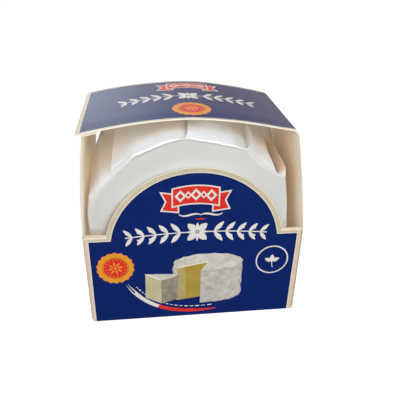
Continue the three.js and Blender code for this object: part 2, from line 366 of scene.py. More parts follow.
def grown(poly, d):
    """A closed counter-clockwise outline moved outwards by d."""
    poly = ccw(poly)
    out, n = [], len(poly)
    for i, (x, y) in enumerate(poly):
        ax, ay = poly[i - 1]
        cx, cy = poly[(i + 1) % n]
        e1 = Vector((x - ax, y - ay)).normalized()
        e2 = Vector((cx - x, cy - y)).normalized()
        nx, ny = e1.y + e2.y, -(e1.x + e2.x)
        k = math.hypot(nx, ny) or 1.0
        nx, ny = nx / k, ny / k
        cosine = max(0.45, nx * e1.y - ny * e1.x)
        out.append((x + nx * d / cosine, y + ny * d / cosine))
    return out


def seal(cx, cy, r):
    shapes = [(scallop(cx, cy, r, r * 0.07, 18), ORANGE), (circle(cx, cy, r * 0.87, 56), GOLD),
              (circle(cx, cy, r * 0.70, 48), RED), (circle(cx, cy, r * 0.665, 48), GOLD), (circle(cx, cy, r * 0.635, 48), RED)]
    for k in range(16):
        a = 2 * math.pi * (k + 0.5) / 16
        shapes.append((circle(cx + r * 0.525 * math.cos(a), cy + r * 0.525 * math.sin(a), r * 0.032, 8), GOLD))
    for k in range(8):
        a = 2 * math.pi * k / 8 + 0.2
        shapes.append((leaf(cx + r * 0.11 * math.cos(a), cy + r * 0.11 * math.sin(a), a, r * 0.30, r * 0.11), ORANGE))
    shapes.append((circle(cx, cy, r * 0.075, 16), ORANGE))
    return shapes


def banner(cx, cy, w, h):
    """A red ribbon with swallow tails, edged in cream."""
    def arch(x):
        return cy + h * 0.10 * (1 - (x / (0.34 * w)) ** 2)
    body = [(cx + x, arch(x) - h * 0.27) for x in np.linspace(-0.34 * w, 0.34 * w, 15)]
    body += [(cx + x, arch(x) + h * 0.33) for x in np.linspace(0.34 * w, -0.34 * w, 15)]
    tails = []
    for s in (-1, 1):
        t = [(cx + s * 0.27 * w, cy - h * 0.47), (cx + s * 0.5 * w, cy - h * 0.40), (cx + s * 0.435 * w, cy - h * 0.10),
             (cx + s * 0.5 * w, cy + h * 0.20), (cx + s * 0.27 * w, cy + h * 0.12)]
        tails.append(t if s > 0 else t[::-1])
    shapes = [(grown(t, 0.62), LINE) for t in tails] + [(t, RED) for t in tails]
    shapes += [(grown(body, 0.62), LINE), (body, RED)]
    for k in range(-2, 3):
        x = k * w * 0.115
        y = arch(x) + h * 0.03
        d = h * (0.19 if k % 2 == 0 else 0.12)
        shapes.append(([(cx + x - d, y), (cx + x, y - d * 1.15), (cx + x + d, y), (cx + x, y + d * 1.15)], LINE))
        d *= 0.5
        shapes.append(([(cx + x - d, y), (cx + x, y - d * 1.15), (cx + x + d, y), (cx + x, y + d * 1.15)], RED))
    return shapes


def flourish(cx, cy, w):
    """Two cream curls meeting over a short red line."""
    shapes = []
    for s in (-1, 1):
        line = bezier((cx, cy), (cx + s * w * 0.18, cy + 1.9), (cx + s * w * 0.34, cy - 1.9), (cx + s * w * 0.5, cy + 0.5), 18)
        line = line if s > 0 else line[::-1]
        shapes.append((ribbon(line, lambda t: 0.35 + 0.55 * math.sin(math.pi * t)), LINE))
    shapes.append((leaf(cx - 2.4, cy - 2.0, 0.0, 4.8, 0.8), RED))
    return shapes


def garland(cx, cy, w, size, bend):
    """A row of paired leaves either side of a four-leaved flower."""
    def at(x):
        return cy + bend * (1 - (2 * x / w) ** 2)

    def slope(x):
        return math.atan2(-8 * bend * x / w ** 2, 1)
    stem = [(cx + x, at(x)) for x in np.linspace(-0.47 * w, 0.47 * w, 41)]
    shapes = [(ribbon(stem, 0.55), LINE)]
    step = w * 0.94 / 12
    for s in (-1, 1):
        for k in range(6):
            x = s * (0.11 * w + k * step)
            if abs(x) > 0.47 * w:
                break
            grow = size * (1.0 - 0.045 * k)
            base = slope(x) + (0 if s > 0 else math.pi)
            for turn in (-1, 1):
                a = base + turn * math.radians(50)
                shapes.append((leaf(cx + x, at(x), a, grow * 0.62, grow * 0.2), LINE))
            xb = x + s * step * 0.55
            if abs(xb) < 0.46 * w:
                for turn in (-1, 1):
                    shapes.append((circle(cx + xb, at(xb) + turn * grow * 0.2, 0.42, 12), LINE))
    for k in range(4):
        a = math.pi / 4 + k * math.pi / 2
        shapes.append((leaf(cx + 0.5 * math.cos(a), at(0) + 0.5 * math.sin(a), a, size * 0.52, size * 0.3), LINE))
    for k in range(4):
        a = k * math.pi / 2
        shapes.append((leaf(cx + 0.5 * math.cos(a), at(0) + 0.5 * math.sin(a), a, size * 0.4, size * 0.13), LINE))
    shapes.append((circle(cx, at(0), 0.9, 16), NAVY))
    shapes.append((circle(cx, at(0), 0.5, 12), LINE))
    return shapes


def ring_mark(cx, cy, r):
    shapes = [(circle(cx, cy, r, 56), LINE), (circle(cx, cy, r - 0.62, 56), NAVY)]
    for k in range(3):
        a = math.pi / 2 + (k - 1) * math.radians(62)
        shapes.append((leaf(cx, cy - r * 0.12, a, r * 0.5, r * 0.26), LINE))
    shapes.append((ribbon(bezier((cx, cy - r * 0.1), (cx, cy - r * 0.25), (cx + 0.2, cy - r * 0.4), (cx + 0.5, cy - r * 0.55), 8), 0.35), LINE))
    return shapes


def stripe_swoosh():
    """A curved three-colour stripe under the picture."""
    line = bezier((-31.6, 21.9), (-24.5, 9.0), (-13.5, 1.2), (10.2, 3.7), 40)
    cut1, cut2 = 8, 20
    def width(t):
        return 1.95 * min(1.0, 0.35 + 4 * t) * (1.0 if t < 0.82 else 1.0 - 0.72 * ((t - 0.82) / 0.18))
    shapes = []
    full = ribbon(line, width)
    n = len(line)
    right, left = full[:n], full[n:][::-1]
    def part(a, b):
        return right[a:b + 1] + left[a:b + 1][::-1]
    shapes.append((part(0, cut1 + 1), LINE))
    inner = ribbon(line[:cut1], lambda t: 0.85)
    shapes.append((inner, NAVY))
    shapes.append((part(cut1, cut2), LINE))
    shapes.append((part(cut2, n - 1), RED))
    # a row of short dashes over the stripe
    over = bezier((-28.9, 22.3), (-22.2, 11.0), (-12.3, 3.9), (9.0, 6.2), 60)
    for k in range(6, 58, 3):
        shapes.append((ribbon(over[k:k + 3], 0.5 if k % 2 else 0.34), LINE))
    return shapes


def cheese_picture():
    """A plain round cheese with a notch cut out, and the cut piece beside it."""
    shapes = []
    cx, cz, rx, rz, h = 5.6, 30.7, 15.6, 4.6, 18.5

    def rim(deg, down=0.0, k=1.0):
        a = math.radians(deg)
        rough = k * (1 + 0.012 * math.sin(7 * a + 1) + 0.011 * math.sin(19 * a + 0.5) + 0.006 * math.sin(33 * a))
        return (cx + rx * rough * math.cos(a), cz - down + rz * rough * math.sin(a) + 0.12 * math.sin(13 * a + 2))

    def flank(way):
        """The rind's uneven outline, from the top down."""
        return [(cx + way * (rx + 0.2 + 0.2 * math.sin(1.7 * t + 2 * way) + 0.13 * math.sin(4.1 * t)), cz - h * t / 12) for t in range(1, 12)]
    low = [rim(d, h) for d in range(-180, 1, 5)]
    side = low + flank(1)[::-1] + [rim(0, 0.3), (cx, cz), rim(180, 0.3)] + flank(-1)
    shapes.append((side, RIND))
    shapes.append(([rim(d) for d in range(-180, 180, 5)], RIND_TOP))
    # the notch: the curd on its far side, and the ground seen through it
    a, b = -152, -102
    meet = (rim(b)[0], cz - h - 0.2 * rz)
    under = [(x, z - 0.45) for x, z in (rim(t, h, 1.03) for t in range(-150, -103, 4))]
    shapes.append(([rim(a, h)] + under + [rim(b, h, 1.02), meet], NAVY))
    shapes.append(([rim(a, 0.0, 0.99), rim(a, h), meet, rim(b), (cx, cz)], CURD))
    shapes.append(([rim(a, 0.0, 0.99), rim(a, h), (rim(a)[0] + 4.2, cz - h - 1.35), (rim(a)[0] + 3.4, cz - 1.6)], CURD_SIDE))
    shapes.append((ribbon([rim(a, 0.1), (cx, cz), rim(b, 0.1)], 0.5), BRIGHT))
    # the cut piece
    ax, az, k, down = -22.6, 25.8, 15.0, 13.4

    def tip(deg, drop=0.0, grow=1.0):
        t = math.radians(deg)
        return (ax + grow * k * math.cos(t), az - drop + grow * 0.29 * k * math.sin(t))
    turns = [-62 + 50 * i / 8 for i in range(9)]
    face = [(ax, az), (ax - 0.1, az - down), tip(-62, down), tip(-62)]
    edge = [(tip(-12)[0] + 0.1 + 0.16 * math.sin(2.3 * t), tip(-12)[1] - down * t / 9) for t in range(1, 9)]
    rind = [tip(t, down + 0.2 * math.sin(5 * t)) for t in turns] + edge[::-1] + [tip(t) for t in reversed(turns)]
    top = [(ax, az)] + [tip(t, 0.0, 1 + 0.022 * math.sin(3 * t)) for t in turns]
    shapes += [(face, CUT_FACE), (rind, RIND_DARK), (top, RIND_TOP)]
    shapes.append((ribbon([(ax, az), tip(-62)], 0.4), BRIGHT))
    return shapes


def split_edges(outline, step):
    """The same outline with no edge longer than step."""
    out = []
    n = len(outline)
    for i, a in enumerate(outline):
        b = outline[(i + 1) % n]
        k = max(1, int(math.ceil(math.hypot(b[0] - a[0], b[1] - a[1]) / step)))
        out += [(a[0] + (b[0] - a[0]) * j / k, a[1] + (b[1] - a[1]) * j / k) for j in range(k)]
    return out


# ------------------------------------------------------------- printed card


def sheet_piece(name, outline, shapes, place, lines=(), points=(), thick=CARD, mats=None, back=INSIDE, rim=EDGE, base=CREAM, shade=None):
    """A closed piece of card: its outline and print are cut in the flat, then
    every point is carried to its place on the folded card."""
    verts, edges, faces, marks = [], [], [], []

    def polygon(poly):
        poly = ccw(poly)
        i0 = len(verts)
        verts.extend(Vector(p) for p in poly)
        faces.append(list(range(i0, i0 + len(poly))))

    polygon(outline)
    marks.append(base)
    for poly, mark in shapes:
        polygon(poly)
        marks.append(mark)
    for line in lines:
        i0 = len(verts)
        verts.extend(Vector(p) for p in line)
        edges.extend((i0 + k, i0 + k + 1) for k in range(len(line) - 1))
    verts.extend(Vector(p) for p in points)
    v2, _, f2, _, _, of = delaunay_2d_cdt(verts, edges, faces, 1, 1e-4)
    flat, keep, mark_of = [tuple(v) for v in v2], [], []
    for f, own in zip(f2, of):
        if 0 not in own:
            continue
        a, b, c = (flat[i] for i in f)
        area = (b[0] - a[0]) * (c[1] - a[1]) - (b[1] - a[1]) * (c[0] - a[0])
        if abs(area) < 1e-7:
            continue
        keep.append(list(f) if area > 0 else list(f)[::-1])
        mark_of.append(marks[max(own)])
    used = sorted({i for f in keep for i in f})
    index = {old: new for new, old in enumerate(used)}
    flat = [flat[i] for i in used]
    keep = [[index[i] for i in f] for f in keep]
    count = {}
    for f in keep:
        for i in range(3):
            e = (f[i], f[(i + 1) % 3])
            count[e] = True
    border = [e for e in count if (e[1], e[0]) not in count]
    n = len(flat)
    outer, normals = [], []
    d = 0.02
    for u, v in flat:
        p = np.array(place(u, v))
        pu = np.array(place(u + d, v)) - np.array(place(u - d, v))
        pv = np.array(place(u, v + d)) - np.array(place(u, v - d))
        nn = np.cross(pu, pv)
        nn /= np.linalg.norm(nn)
        outer.append(p)
        normals.append(nn)
    outer, normals = np.array(outer), np.array(normals)
    inner = outer - normals * thick
    co = np.vstack([outer, inner]) * MM
    all_faces, all_marks, loops = [], [], []
    for f, mk in zip(keep, mark_of):
        all_faces.append(f)
        all_marks.append(mk)
        loops.extend(normals[i] for i in f)
    for f in keep:
        g = [i + n for i in reversed(f)]
        all_faces.append(g)
        all_marks.append(back(*flat[f[0]]) if callable(back) else back)
        loops.extend(-normals[i - n] for i in g)
    for a, b in border:
        all_faces.append([b, a, a + n, b + n])
        all_marks.append(rim)
        along = outer[b] - outer[a]
        side = np.cross(along, normals[a])
        side = side / (np.linalg.norm(side) or 1.0)
        loops.extend([side] * 4)
    mesh = bpy.data.meshes.new(name)
    mesh.from_pydata([tuple(c) for c in co], [], all_faces)
    for mt in mats or print_mats:
        mesh.materials.append(mt)
    mesh.polygons.foreach_set("material_index", all_marks)
    mesh.polygons.foreach_set("use_smooth", [True] * len(all_faces))
    mesh.normals_split_custom_set([tuple(v) for v in loops])
    if shade:
        dim = [shade(u, v) for u, v in flat]
        corner = mesh.attributes.new("corner_shade", "FLOAT", "POINT")
        corner.data.foreach_set("value", dim + dim)
    mesh.update()
    obj = bpy.data.objects.new(name, mesh)
    bpy.context.scene.collection.objects.link(obj)
    return obj


def wave(x, y, z, scale, seed=0.0):
    return noise.noise(Vector((x / scale + seed, y / scale - seed, z / scale + 2 * seed)))


# The strip's middle line in section: lid tip, lid, right fold, right wall,
# base, left wall, top fold and glue flap, as the outer face of the card.

def arc(cx, cz, r, a0, a1, n):
    return [(cx + r * math.cos(math.radians(a0 + (a1 - a0) * i / n)), cz + r * math.sin(math.radians(a0 + (a1 - a0) * i / n))) for i in range(n + 1)]


def strip_path():
    pts, marks = [], {}
    x_tip = left_wall_x(LEFT_TOP[0]) - LID_OVERHANG
    x_end = right_wall_x(RIGHT_TOP[0]) - LID_FOLD_R * 1.05
    for i in range(61):
        x = x_tip + (x_end - x_tip) * i / 60
        pts.append((x, lid_z(x)))
    marks["lid_end"] = len(pts) - 1
    # rounded fold from the lid's slope to the wall's slope
    wall_z = RIGHT_TOP[0] - LID_FOLD_R * 0.8
    p0, p3 = pts[-1], (right_wall_x(wall_z), wall_z)
    t0 = ((pts[-1][0] - pts[-2][0]), (pts[-1][1] - pts[-2][1]))
    k = math.hypot(*t0)
    t0 = (t0[0] / k, t0[1] / k)
    t3 = (right_wall_x(wall_z - 1) - right_wall_x(wall_z), -1.0)
    k = math.hypot(*t3)
    t3 = (t3[0] / k, t3[1] / k)
    reach = LID_FOLD_R * 0.72
    fold = bezier(p0, (p0[0] + t0[0] * reach, p0[1] + t0[1] * reach), (p3[0] - t3[0] * reach, p3[1] - t3[1] * reach), p3, 10)
    pts.extend(fold[1:])
    marks["wall_top"] = len(pts) - 1
    for i in range(1, 31):
        z = wall_z + (LEAN_Z - wall_z) * i / 30
        pts.append((right_wall_x(z), z))
    pts.extend([(HALF_W, 24.0), (HALF_W, 8.0)])
    pts.extend(arc(HALF_W - BASE_R, BASE_R, BASE_R, 0, -90, 7))
    marks["base_start"] = len(pts) - 1
    pts.extend([(24.0, 0.0), (0.0, 0.0), (-24.0, 0.0)])
    pts.extend(arc(-HALF_W + BASE_R, BASE_R, BASE_R, 270, 180, 7))
    marks["base_end"] = len(pts) - 8
    pts.extend([(-HALF_W, 8.0), (-HALF_W, 24.0)])
    top_z = LEFT_TOP[0] - 0.6
    for i in range(31):
        z = LEAN_Z + (top_z - LEAN_Z) * i / 30
        pts.append((left_wall_x(z), z))
    marks["left_top"] = len(pts) - 1
    xw = pts[-1][0]
    under = CARD + 0.04
    p3 = (xw + 1.3, lid_z(xw + 1.3) - under)
    pts.extend(bezier(pts[-1], (xw, pts[-1][1] + 0.55), (p3[0] - 0.8, p3[1] - 0.1), p3, 8)[1:])
    for i in range(1, 9):
        x = p3[0] + (GLUE_FLAP - 1.3) * i / 8
        pts.append((x, lid_z(x) - under))
    return np.array(pts), marks


PATH, PATH_MARKS = strip_path()
PATH_U = np.concatenate([[0], np.cumsum(np.hypot(*np.diff(PATH, axis=0).T))])
U_END = PATH_U[-1]


def path_at(u):
    if u <= 0:
        d = (PATH[1] - PATH[0]) / (PATH_U[1] - PATH_U[0])
        return PATH[0] + d * u
    if u >= U_END:
        d = (PATH[-1] - PATH[-2]) / (PATH_U[-1] - PATH_U[-2])
        return PATH[-1] + d * (u - U_END)
    return np.array([np.interp(u, PATH_U, PATH[:, 0]), np.interp(u, PATH_U, PATH[:, 1])])


def skewed(x, z, y):
    t = clamp01((y - FRONT) / DEPTH)
    s = clamp01((z - LEAN_Z) / (LID_Z - LEAN_Z))
    left = clamp01((LID_X - x) / LID_SPAN)
    k = clamp01((z - LEAN_Z) / (LEFT_TOP[0] - LEAN_Z))
    pull = WALL_PULL * k * (1 - k) ** 0.8 if x < -30 else 0.0
    dx = SKEW_X + (LEFT_SKEW_X - SKEW_X) * left
    dz = SKEW_Z + (LEFT_SKEW_Z - SKEW_Z) * left
    return x + (dx * s + pull) * t, z + dz * s * t


def u_of(mark):
    return PATH_U[PATH_MARKS[mark]]


def u_at_lid(x):
    n = PATH_MARKS["lid_end"] + 1
    return float(np.interp(x, PATH[:n, 0], PATH_U[:n]))


def u_on_wall(z, side):
    if side > 0:
        a, b = PATH_MARKS["wall_top"], PATH_MARKS["base_start"]
        seg = slice(a, b + 1)
        return float(np.interp(-z, -PATH[seg, 1], PATH_U[seg]))
    a, b = PATH_MARKS["base_end"], PATH_MARKS["left_top"]
    seg = slice(a, b + 1)
    return float(np.interp(z, PATH[seg, 1], PATH_U[seg]))


def lies_flat(u):
    """1 on the lid and its glue flap, 0 on the walls and base."""
    t = max(clamp01((u_of("lid_end") - u) / 7.0), clamp01((u - u_of("left_top")) / 2.4))
    return t * t * (3 - 2 * t)


def place_strip(u, v):
    x, z = path_at(u)
    shift = side_shift(x, z)
    x, z = skewed(x, z, v)
    x += shift
    # slow waves in the card, none near the folds of the base
    free = clamp01((z - 10) / 30)
    lift = 0.16 * free * wave(x, v, z, 24.0, 3.1)
    flat = lies_flat(u)
    hang = clamp01((FRONT + 10.0 - v) / 10.0)
    z += flat * (lift - LID_DROOP * hang * hang * (3 - 2 * hang))
    if u > u_of("left_top"):
        # the glue flap stands a little off the lid at its front edge
        z -= 0.34 * flat * clamp01((FRONT + 6.0 - v) / 6.0) ** 2
    x += (1 - flat) * lift * (1 if x > 0 else -1)
    return (x, v, z)


def strip_shade(u, v):
    """Painted shade for the inner face: darker high on the left wall, and a little high on the right wall."""
    x, z = path_at(u)
    if x > -30:
        return 0.10 * clamp01((z - 66) / 14) if u > u_of("lid_end") else 0.0
    up = float(np.interp(z, [46, 52, 57, 64, 70, 78, 84, 90], [0.46, 0.4, 0.3, 0.3, 0.56, 0.88, 0.7, 0.42]))
    # the paper stands closer to the front lower down
    into = (v - FRONT) * float(np.interp(z, [50, 60, 70, 80], [1.9, 1.6, 1.25, 1.0]))
    return up * float(np.interp(into, [0, 4, 9, 15, 24, 40, DEPTH], [0.08, 0.08, 0.2, 0.52, 0.72, 0.66, 0.5]))


def build_strip():
    u_wall_r = u_of("wall_top")
    u_dust_r, u_base_r = u_on_wall(DUST_TOP_RIGHT, 1), u_on_wall(1.2, 1)
    u_base_l, u_dust_l = u_on_wall(1.2, -1), u_on_wall(DUST_TOP_LEFT, -1)
    u_top_l = u_of("left_top")
    front = [(0.0, FRONT), (u_wall_r, FRONT + 0.1), (u_dust_r - 0.4, FRONT + 0.3), (u_dust_r, FRONT + 1.1),
             (u_base_r, FRONT + 1.1), (u_base_r + 0.5, FRONT + FOLD), (u_base_l - 0.5, FRONT + FOLD), (u_base_l, FRONT + 1.1),
             (u_dust_l, FRONT + 1.1), (u_dust_l + 0.4, FRONT + 0.3), (u_top_l, FRONT + 0.2), (u_top_l + 1.6, FRONT + 0.2), (U_END - 0.9, FRONT + 0.25), (U_END, FRONT + 1.3)]
    us = sorted(set([p[0] for p in front] + [float(u) for u in PATH_U]))
    # each fold and bend has its own point on the cut edge
    front = [(u, float(np.interp(u, [p[0] for p in front], [p[1] for p in front]))) for i, u in enumerate(us)
             if i == 0 or u - us[i - 1] > 0.02]
    back = [(u, -v) for u, v in front][::-1]
    outline = split_edges(front + back, 2.5)
    lines = []
    # lines along the folds keep the bends smooth
    for i, u in enumerate(PATH_U[1:-1]):
        lo = float(np.interp(u, [p[0] for p in front], [p[1] for p in front]))
        inner_rows = [v for v in (FRONT + 1.35, FRONT + 1.85, FRONT + 3.2, FRONT + 5.0, FRONT + 7.0, FRONT + 9.0, -15.5, -12, -8, -4,
                                  0, 4, 8, 12, 16, 20, 23, BACK - 1.9) if lo + 0.3 < v < -lo - 0.3]
        lines.append([(u, lo + 0.02)] + [(u, v) for v in inner_rows] + [(u, -lo - 0.02)])
    points = []
    u_navy0 = u_at_lid(left_wall_x(LEFT_TOP[0]) - LID_OVERHANG) + 1.75
    navy = [(u_navy0, FRONT + 1.35), (u_top_l - 1.0, FRONT + 1.35), (u_top_l - 1.0, BACK - 1.9), (u_navy0, BACK - 1.9)]
    # painted shade: a thin dark line along the lid's front edge
    dark_rim = [(u_navy0, FRONT + 1.35), (u_top_l - 1.0, FRONT + 1.35), (u_top_l - 1.0, FRONT + 1.85), (u_navy0, FRONT + 1.85)]
    shapes = [(grown(navy, 0.45), LINE), (navy, NAVY), (dark_rim, NAVY_EDGE)]
    cx = u_at_lid(-1.0)
    shapes += banner(cx - 0.4, 17.6, 26.5, 12.6)
    shapes += garland(cx - 1.2, -2.3, 61.0, 10.4, 4.2)
    shapes += seal(u_at_lid(-2.0), -16.2, 8.0)
    return sheet_piece("sleeve_strip", outline, shapes, place_strip, lines, points, shade=strip_shade,
                       back=lambda u, v: UNDER_LID if u < u_of("lid_end") else INSIDE)


# The front and back panels, drawn seen from outside with x to the right and z up.

def panel_edge(side, z):
    """The panel's cut side edge, a little inside the box's folded corner."""
    return side * (HALF_W - PANEL_IN) + side_shift(side * HALF_W, z)


def panel_outline(ledge=LEDGE_Z, r=ARCH_R, corner=0.9):
    bottom = FOLD - FOLD * math.pi / 2
    pts = [(panel_edge(-1, 0) + 0.5, bottom), (panel_edge(1, 0) - 0.5, bottom)]
    pts += [(panel_edge(1, z), z) for z in (1.0, 8.0, 15.0, 22.0, 29.0, 36.0, 41.0, ledge)]
    # the shoulder runs into the arch with a small fillet
    dz = ledge + corner - ARCH_Z
    reach = math.asin(min(0.99, dz / r))
    ax = ARCH_X + r * math.cos(reach)
    pts += [(ax + corner * 1.1, ledge)]
    n = 56
    for i in range(n + 1):
        a = reach + (math.pi - 2 * reach) * i / n
        pts.append((ARCH_X + r * math.cos(a), ARCH_Z + r * math.sin(a)))
    pts += [(2 * ARCH_X - ax - corner * 1.1, ledge)]
    pts += [(panel_edge(-1, z), z) for z in (ledge, 41.0, 36.0, 29.0, 22.0, 15.0, 8.0, 1.0)]
    return pts


def place_panel(front=True):
    sign = 1 if front else -1
    y0 = FRONT if front else BACK

    def place(u, v):
        if v >= FOLD:
            y, z = 0.0, v
        else:
            a = (FOLD - v) / FOLD
            y, z = FOLD * (1 - math.cos(a)), FOLD - FOLD * math.sin(a)
        bow = 0.22 * wave(u, 7.0 * sign, z, 30.0, 5.7) * clamp01((z - 6) / 20)
        return (sign * u, y0 + sign * (y + bow * 0.6 + 0.12), z) if v >= FOLD else (sign * u, y0 + sign * (y + 0.12), z)
    return place


def panel_shapes(front=True):
    half = 45.5
    bottom = FOLD - FOLD * math.pi / 2
    def field(extra):
        pts = []
        r = 36.75 + extra
        ledge = 43.85 + extra
        pts += [(ARCH_X - half - extra, bottom + 0.002), (ARCH_X + half + extra, bottom + 0.002), (ARCH_X + half + extra, ledge)]
        reach = math.asin((ledge - ARCH_Z) / r)
        for i in range(61):
            a = reach + (math.pi - 2 * reach) * i / 60
            pts.append((ARCH_X + r * math.cos(a), ARCH_Z + r * math.sin(a)))
        pts += [(ARCH_X - half - extra, ledge)]
        return pts
    # the border: a painted highlight along the cut edge, and painted shade along the right side's fold
    shapes = []
    reach = math.asin((LEDGE_Z - 0.22 - ARCH_Z) / (ARCH_R - 0.22))
    body = [(panel_edge(-1, 1) + 0.01, 1.0), (panel_edge(1, 1) - 0.01, 1.0)]
    body += [(panel_edge(1, z) - 0.01, z) for z in (8.0, 15.0, 22.0, 29.0, 36.0, 41.0, LEDGE_Z - 0.22)]
    body += [(ARCH_X + (ARCH_R - 0.22) * math.cos(a), ARCH_Z + (ARCH_R - 0.22) * math.sin(a)) for a in np.linspace(reach, math.pi - reach, 61)]
    body += [(panel_edge(-1, z) + 0.01, z) for z in (LEDGE_Z - 0.22, 41.0, 36.0, 29.0, 22.0, 15.0, 8.0)]
    shapes.append((body, CREAM))
    zs = (bottom + 0.002, 1.0, 8.0, 15.0, 22.0, 29.0, 36.0, 41.0, LEDGE_Z - 0.22)
    for side in (-1, 1):
        for inset, mark in ((0.01, FOLD_SHADE_LINE if side > 0 else CREAM_SIDE), (0.42, CREAM_SIDE)):
            band = [(panel_edge(side, z) - side * (inset + (0.5 if z < 0.5 else 0.0)), z) for z in zs]
            band += [(ARCH_X + side * (half + 0.2), LEDGE_Z - 0.22), (ARCH_X + side * (half + 0.2), bottom + 0.002)]
            shapes.append((band, mark))
    shapes += [(field(0.42), LINE), (field(0.0), NAVY_EDGE), (field(-0.42), NAVY)]
    shapes += banner(-0.6, 63.2, 28.0, 13.0)
    shapes += flourish(1.6, 55.2, 18.5)
    shapes += garland(0.3, 44.9, 65.5, 10.4, 1.9)
    if front:
        shapes += stripe_swoosh()
        shapes += seal(-35.4, 29.9, 8.2)
        shapes += ring_mark(35.0, 30.1, 7.6)
        shapes += cheese_picture()
    else:
        shapes += seal(0.0, 22.0, 9.5)
    return shapes


def build_panel(front=True):
    outline = split_edges(panel_outline(), 3.0)
    lines = []
    for v in (FOLD, FOLD * 0.72, FOLD * 0.44, FOLD * 0.16, -FOLD * 0.12, -FOLD * 0.38):
        lines.append([(-HALF_W + 1.4, v), (HALF_W - 1.9, v)])
    points = []
    for x in np.arange(-46, 46.5, 4.3):
        for z in np.arange(3, 76, 4.1):
            if z < 44 or math.hypot(x - ARCH_X, z - ARCH_Z) < ARCH_R - 1:
                points.append((x + 0.17, z + 0.11))
    # the panel's base colour shows as a painted highlight along the arch and ledge
    return sheet_piece("front_panel" if front else "back_panel", outline, panel_shapes(front), place_panel(front), lines, points, base=BRIGHT)


def build_dust_flap(front, side):
    """The side wall's flap: a quarter bend at the corner, then straight in behind the panel."""
    r = 0.6
    bend = r * math.pi / 2
    sign = 1 if front else -1
    y0 = (FRONT if front else BACK)

    def place(u, v):
        if u <= bend:
            a = u / r
            x, y = HALF_W - r + r * math.cos(a), 1.1 - r * math.sin(a) + 0.16
        else:
            x, y = HALF_W - r - (u - bend), 1.1 - r + 0.16
        return (side * x + side_shift(side * HALF_W, v), y0 + sign * y, v)
    flip = side * sign > 0
    length = DUST_WIDTH
    z0, z1 = 0.5, DUST_TOP_RIGHT if side > 0 else DUST_TOP_LEFT
    pts = [(0, z0), (length, z0), (length, z1 - 5), (length - 2.5, z1 - 0.8), (length - 4.5, z1), (0.5, z1), (0, z1 - 0.4)]
    def placed(u, v):
        return place(u, v)
    lines = [[(bend * k / 6, z0 + 0.02), (bend * k / 6, z1 - 0.45)] for k in range(1, 7)]
    # the bend is darker on the left, where it turns from the light
    fold = [([(0.002, z0 + 0.002), (0.4, z0 + 0.002), (0.4, z1 - 0.42), (0.002, z1 - 0.42)], FOLD_SHADE_LINE)] if side < 0 else []
    # the flap's cut edges take the painted highlight
    if flip:
        pts_f, lines_f = pts, lines
        obj = sheet_piece(f"dust_flap_{'front' if front else 'back'}_{'right' if side > 0 else 'left'}",
                          [(-u, v) for u, v in pts_f][::-1], [([(-u, v) for u, v in poly], mark) for poly, mark in fold],
                          lambda u, v: placed(-u, v),
                          [[(-u, v) for u, v in l] for l in lines_f], [], rim=BRIGHT, base=CREAM_SIDE)
    else:
        obj = sheet_piece(f"dust_flap_{'front' if front else 'back'}_{'right' if side > 0 else 'left'}",
                          pts, fold, placed, lines, [], rim=BRIGHT, base=CREAM_SIDE)
    return obj


card_pieces = [build_strip(), build_panel(True), build_panel(False)]
for is_front in (True, False):
    for side in (-1, 1):
        card_pieces.append(build_dust_flap(is_front, side))

# ---------------------------------------------------------- the paper wrap

AX, AZ = -1.3, 44.64            # the drum's axis
CHEESE_R = 41.9
FACE_Y = -25.0
SIDE_END = 20.6
BACK_END = 26.0

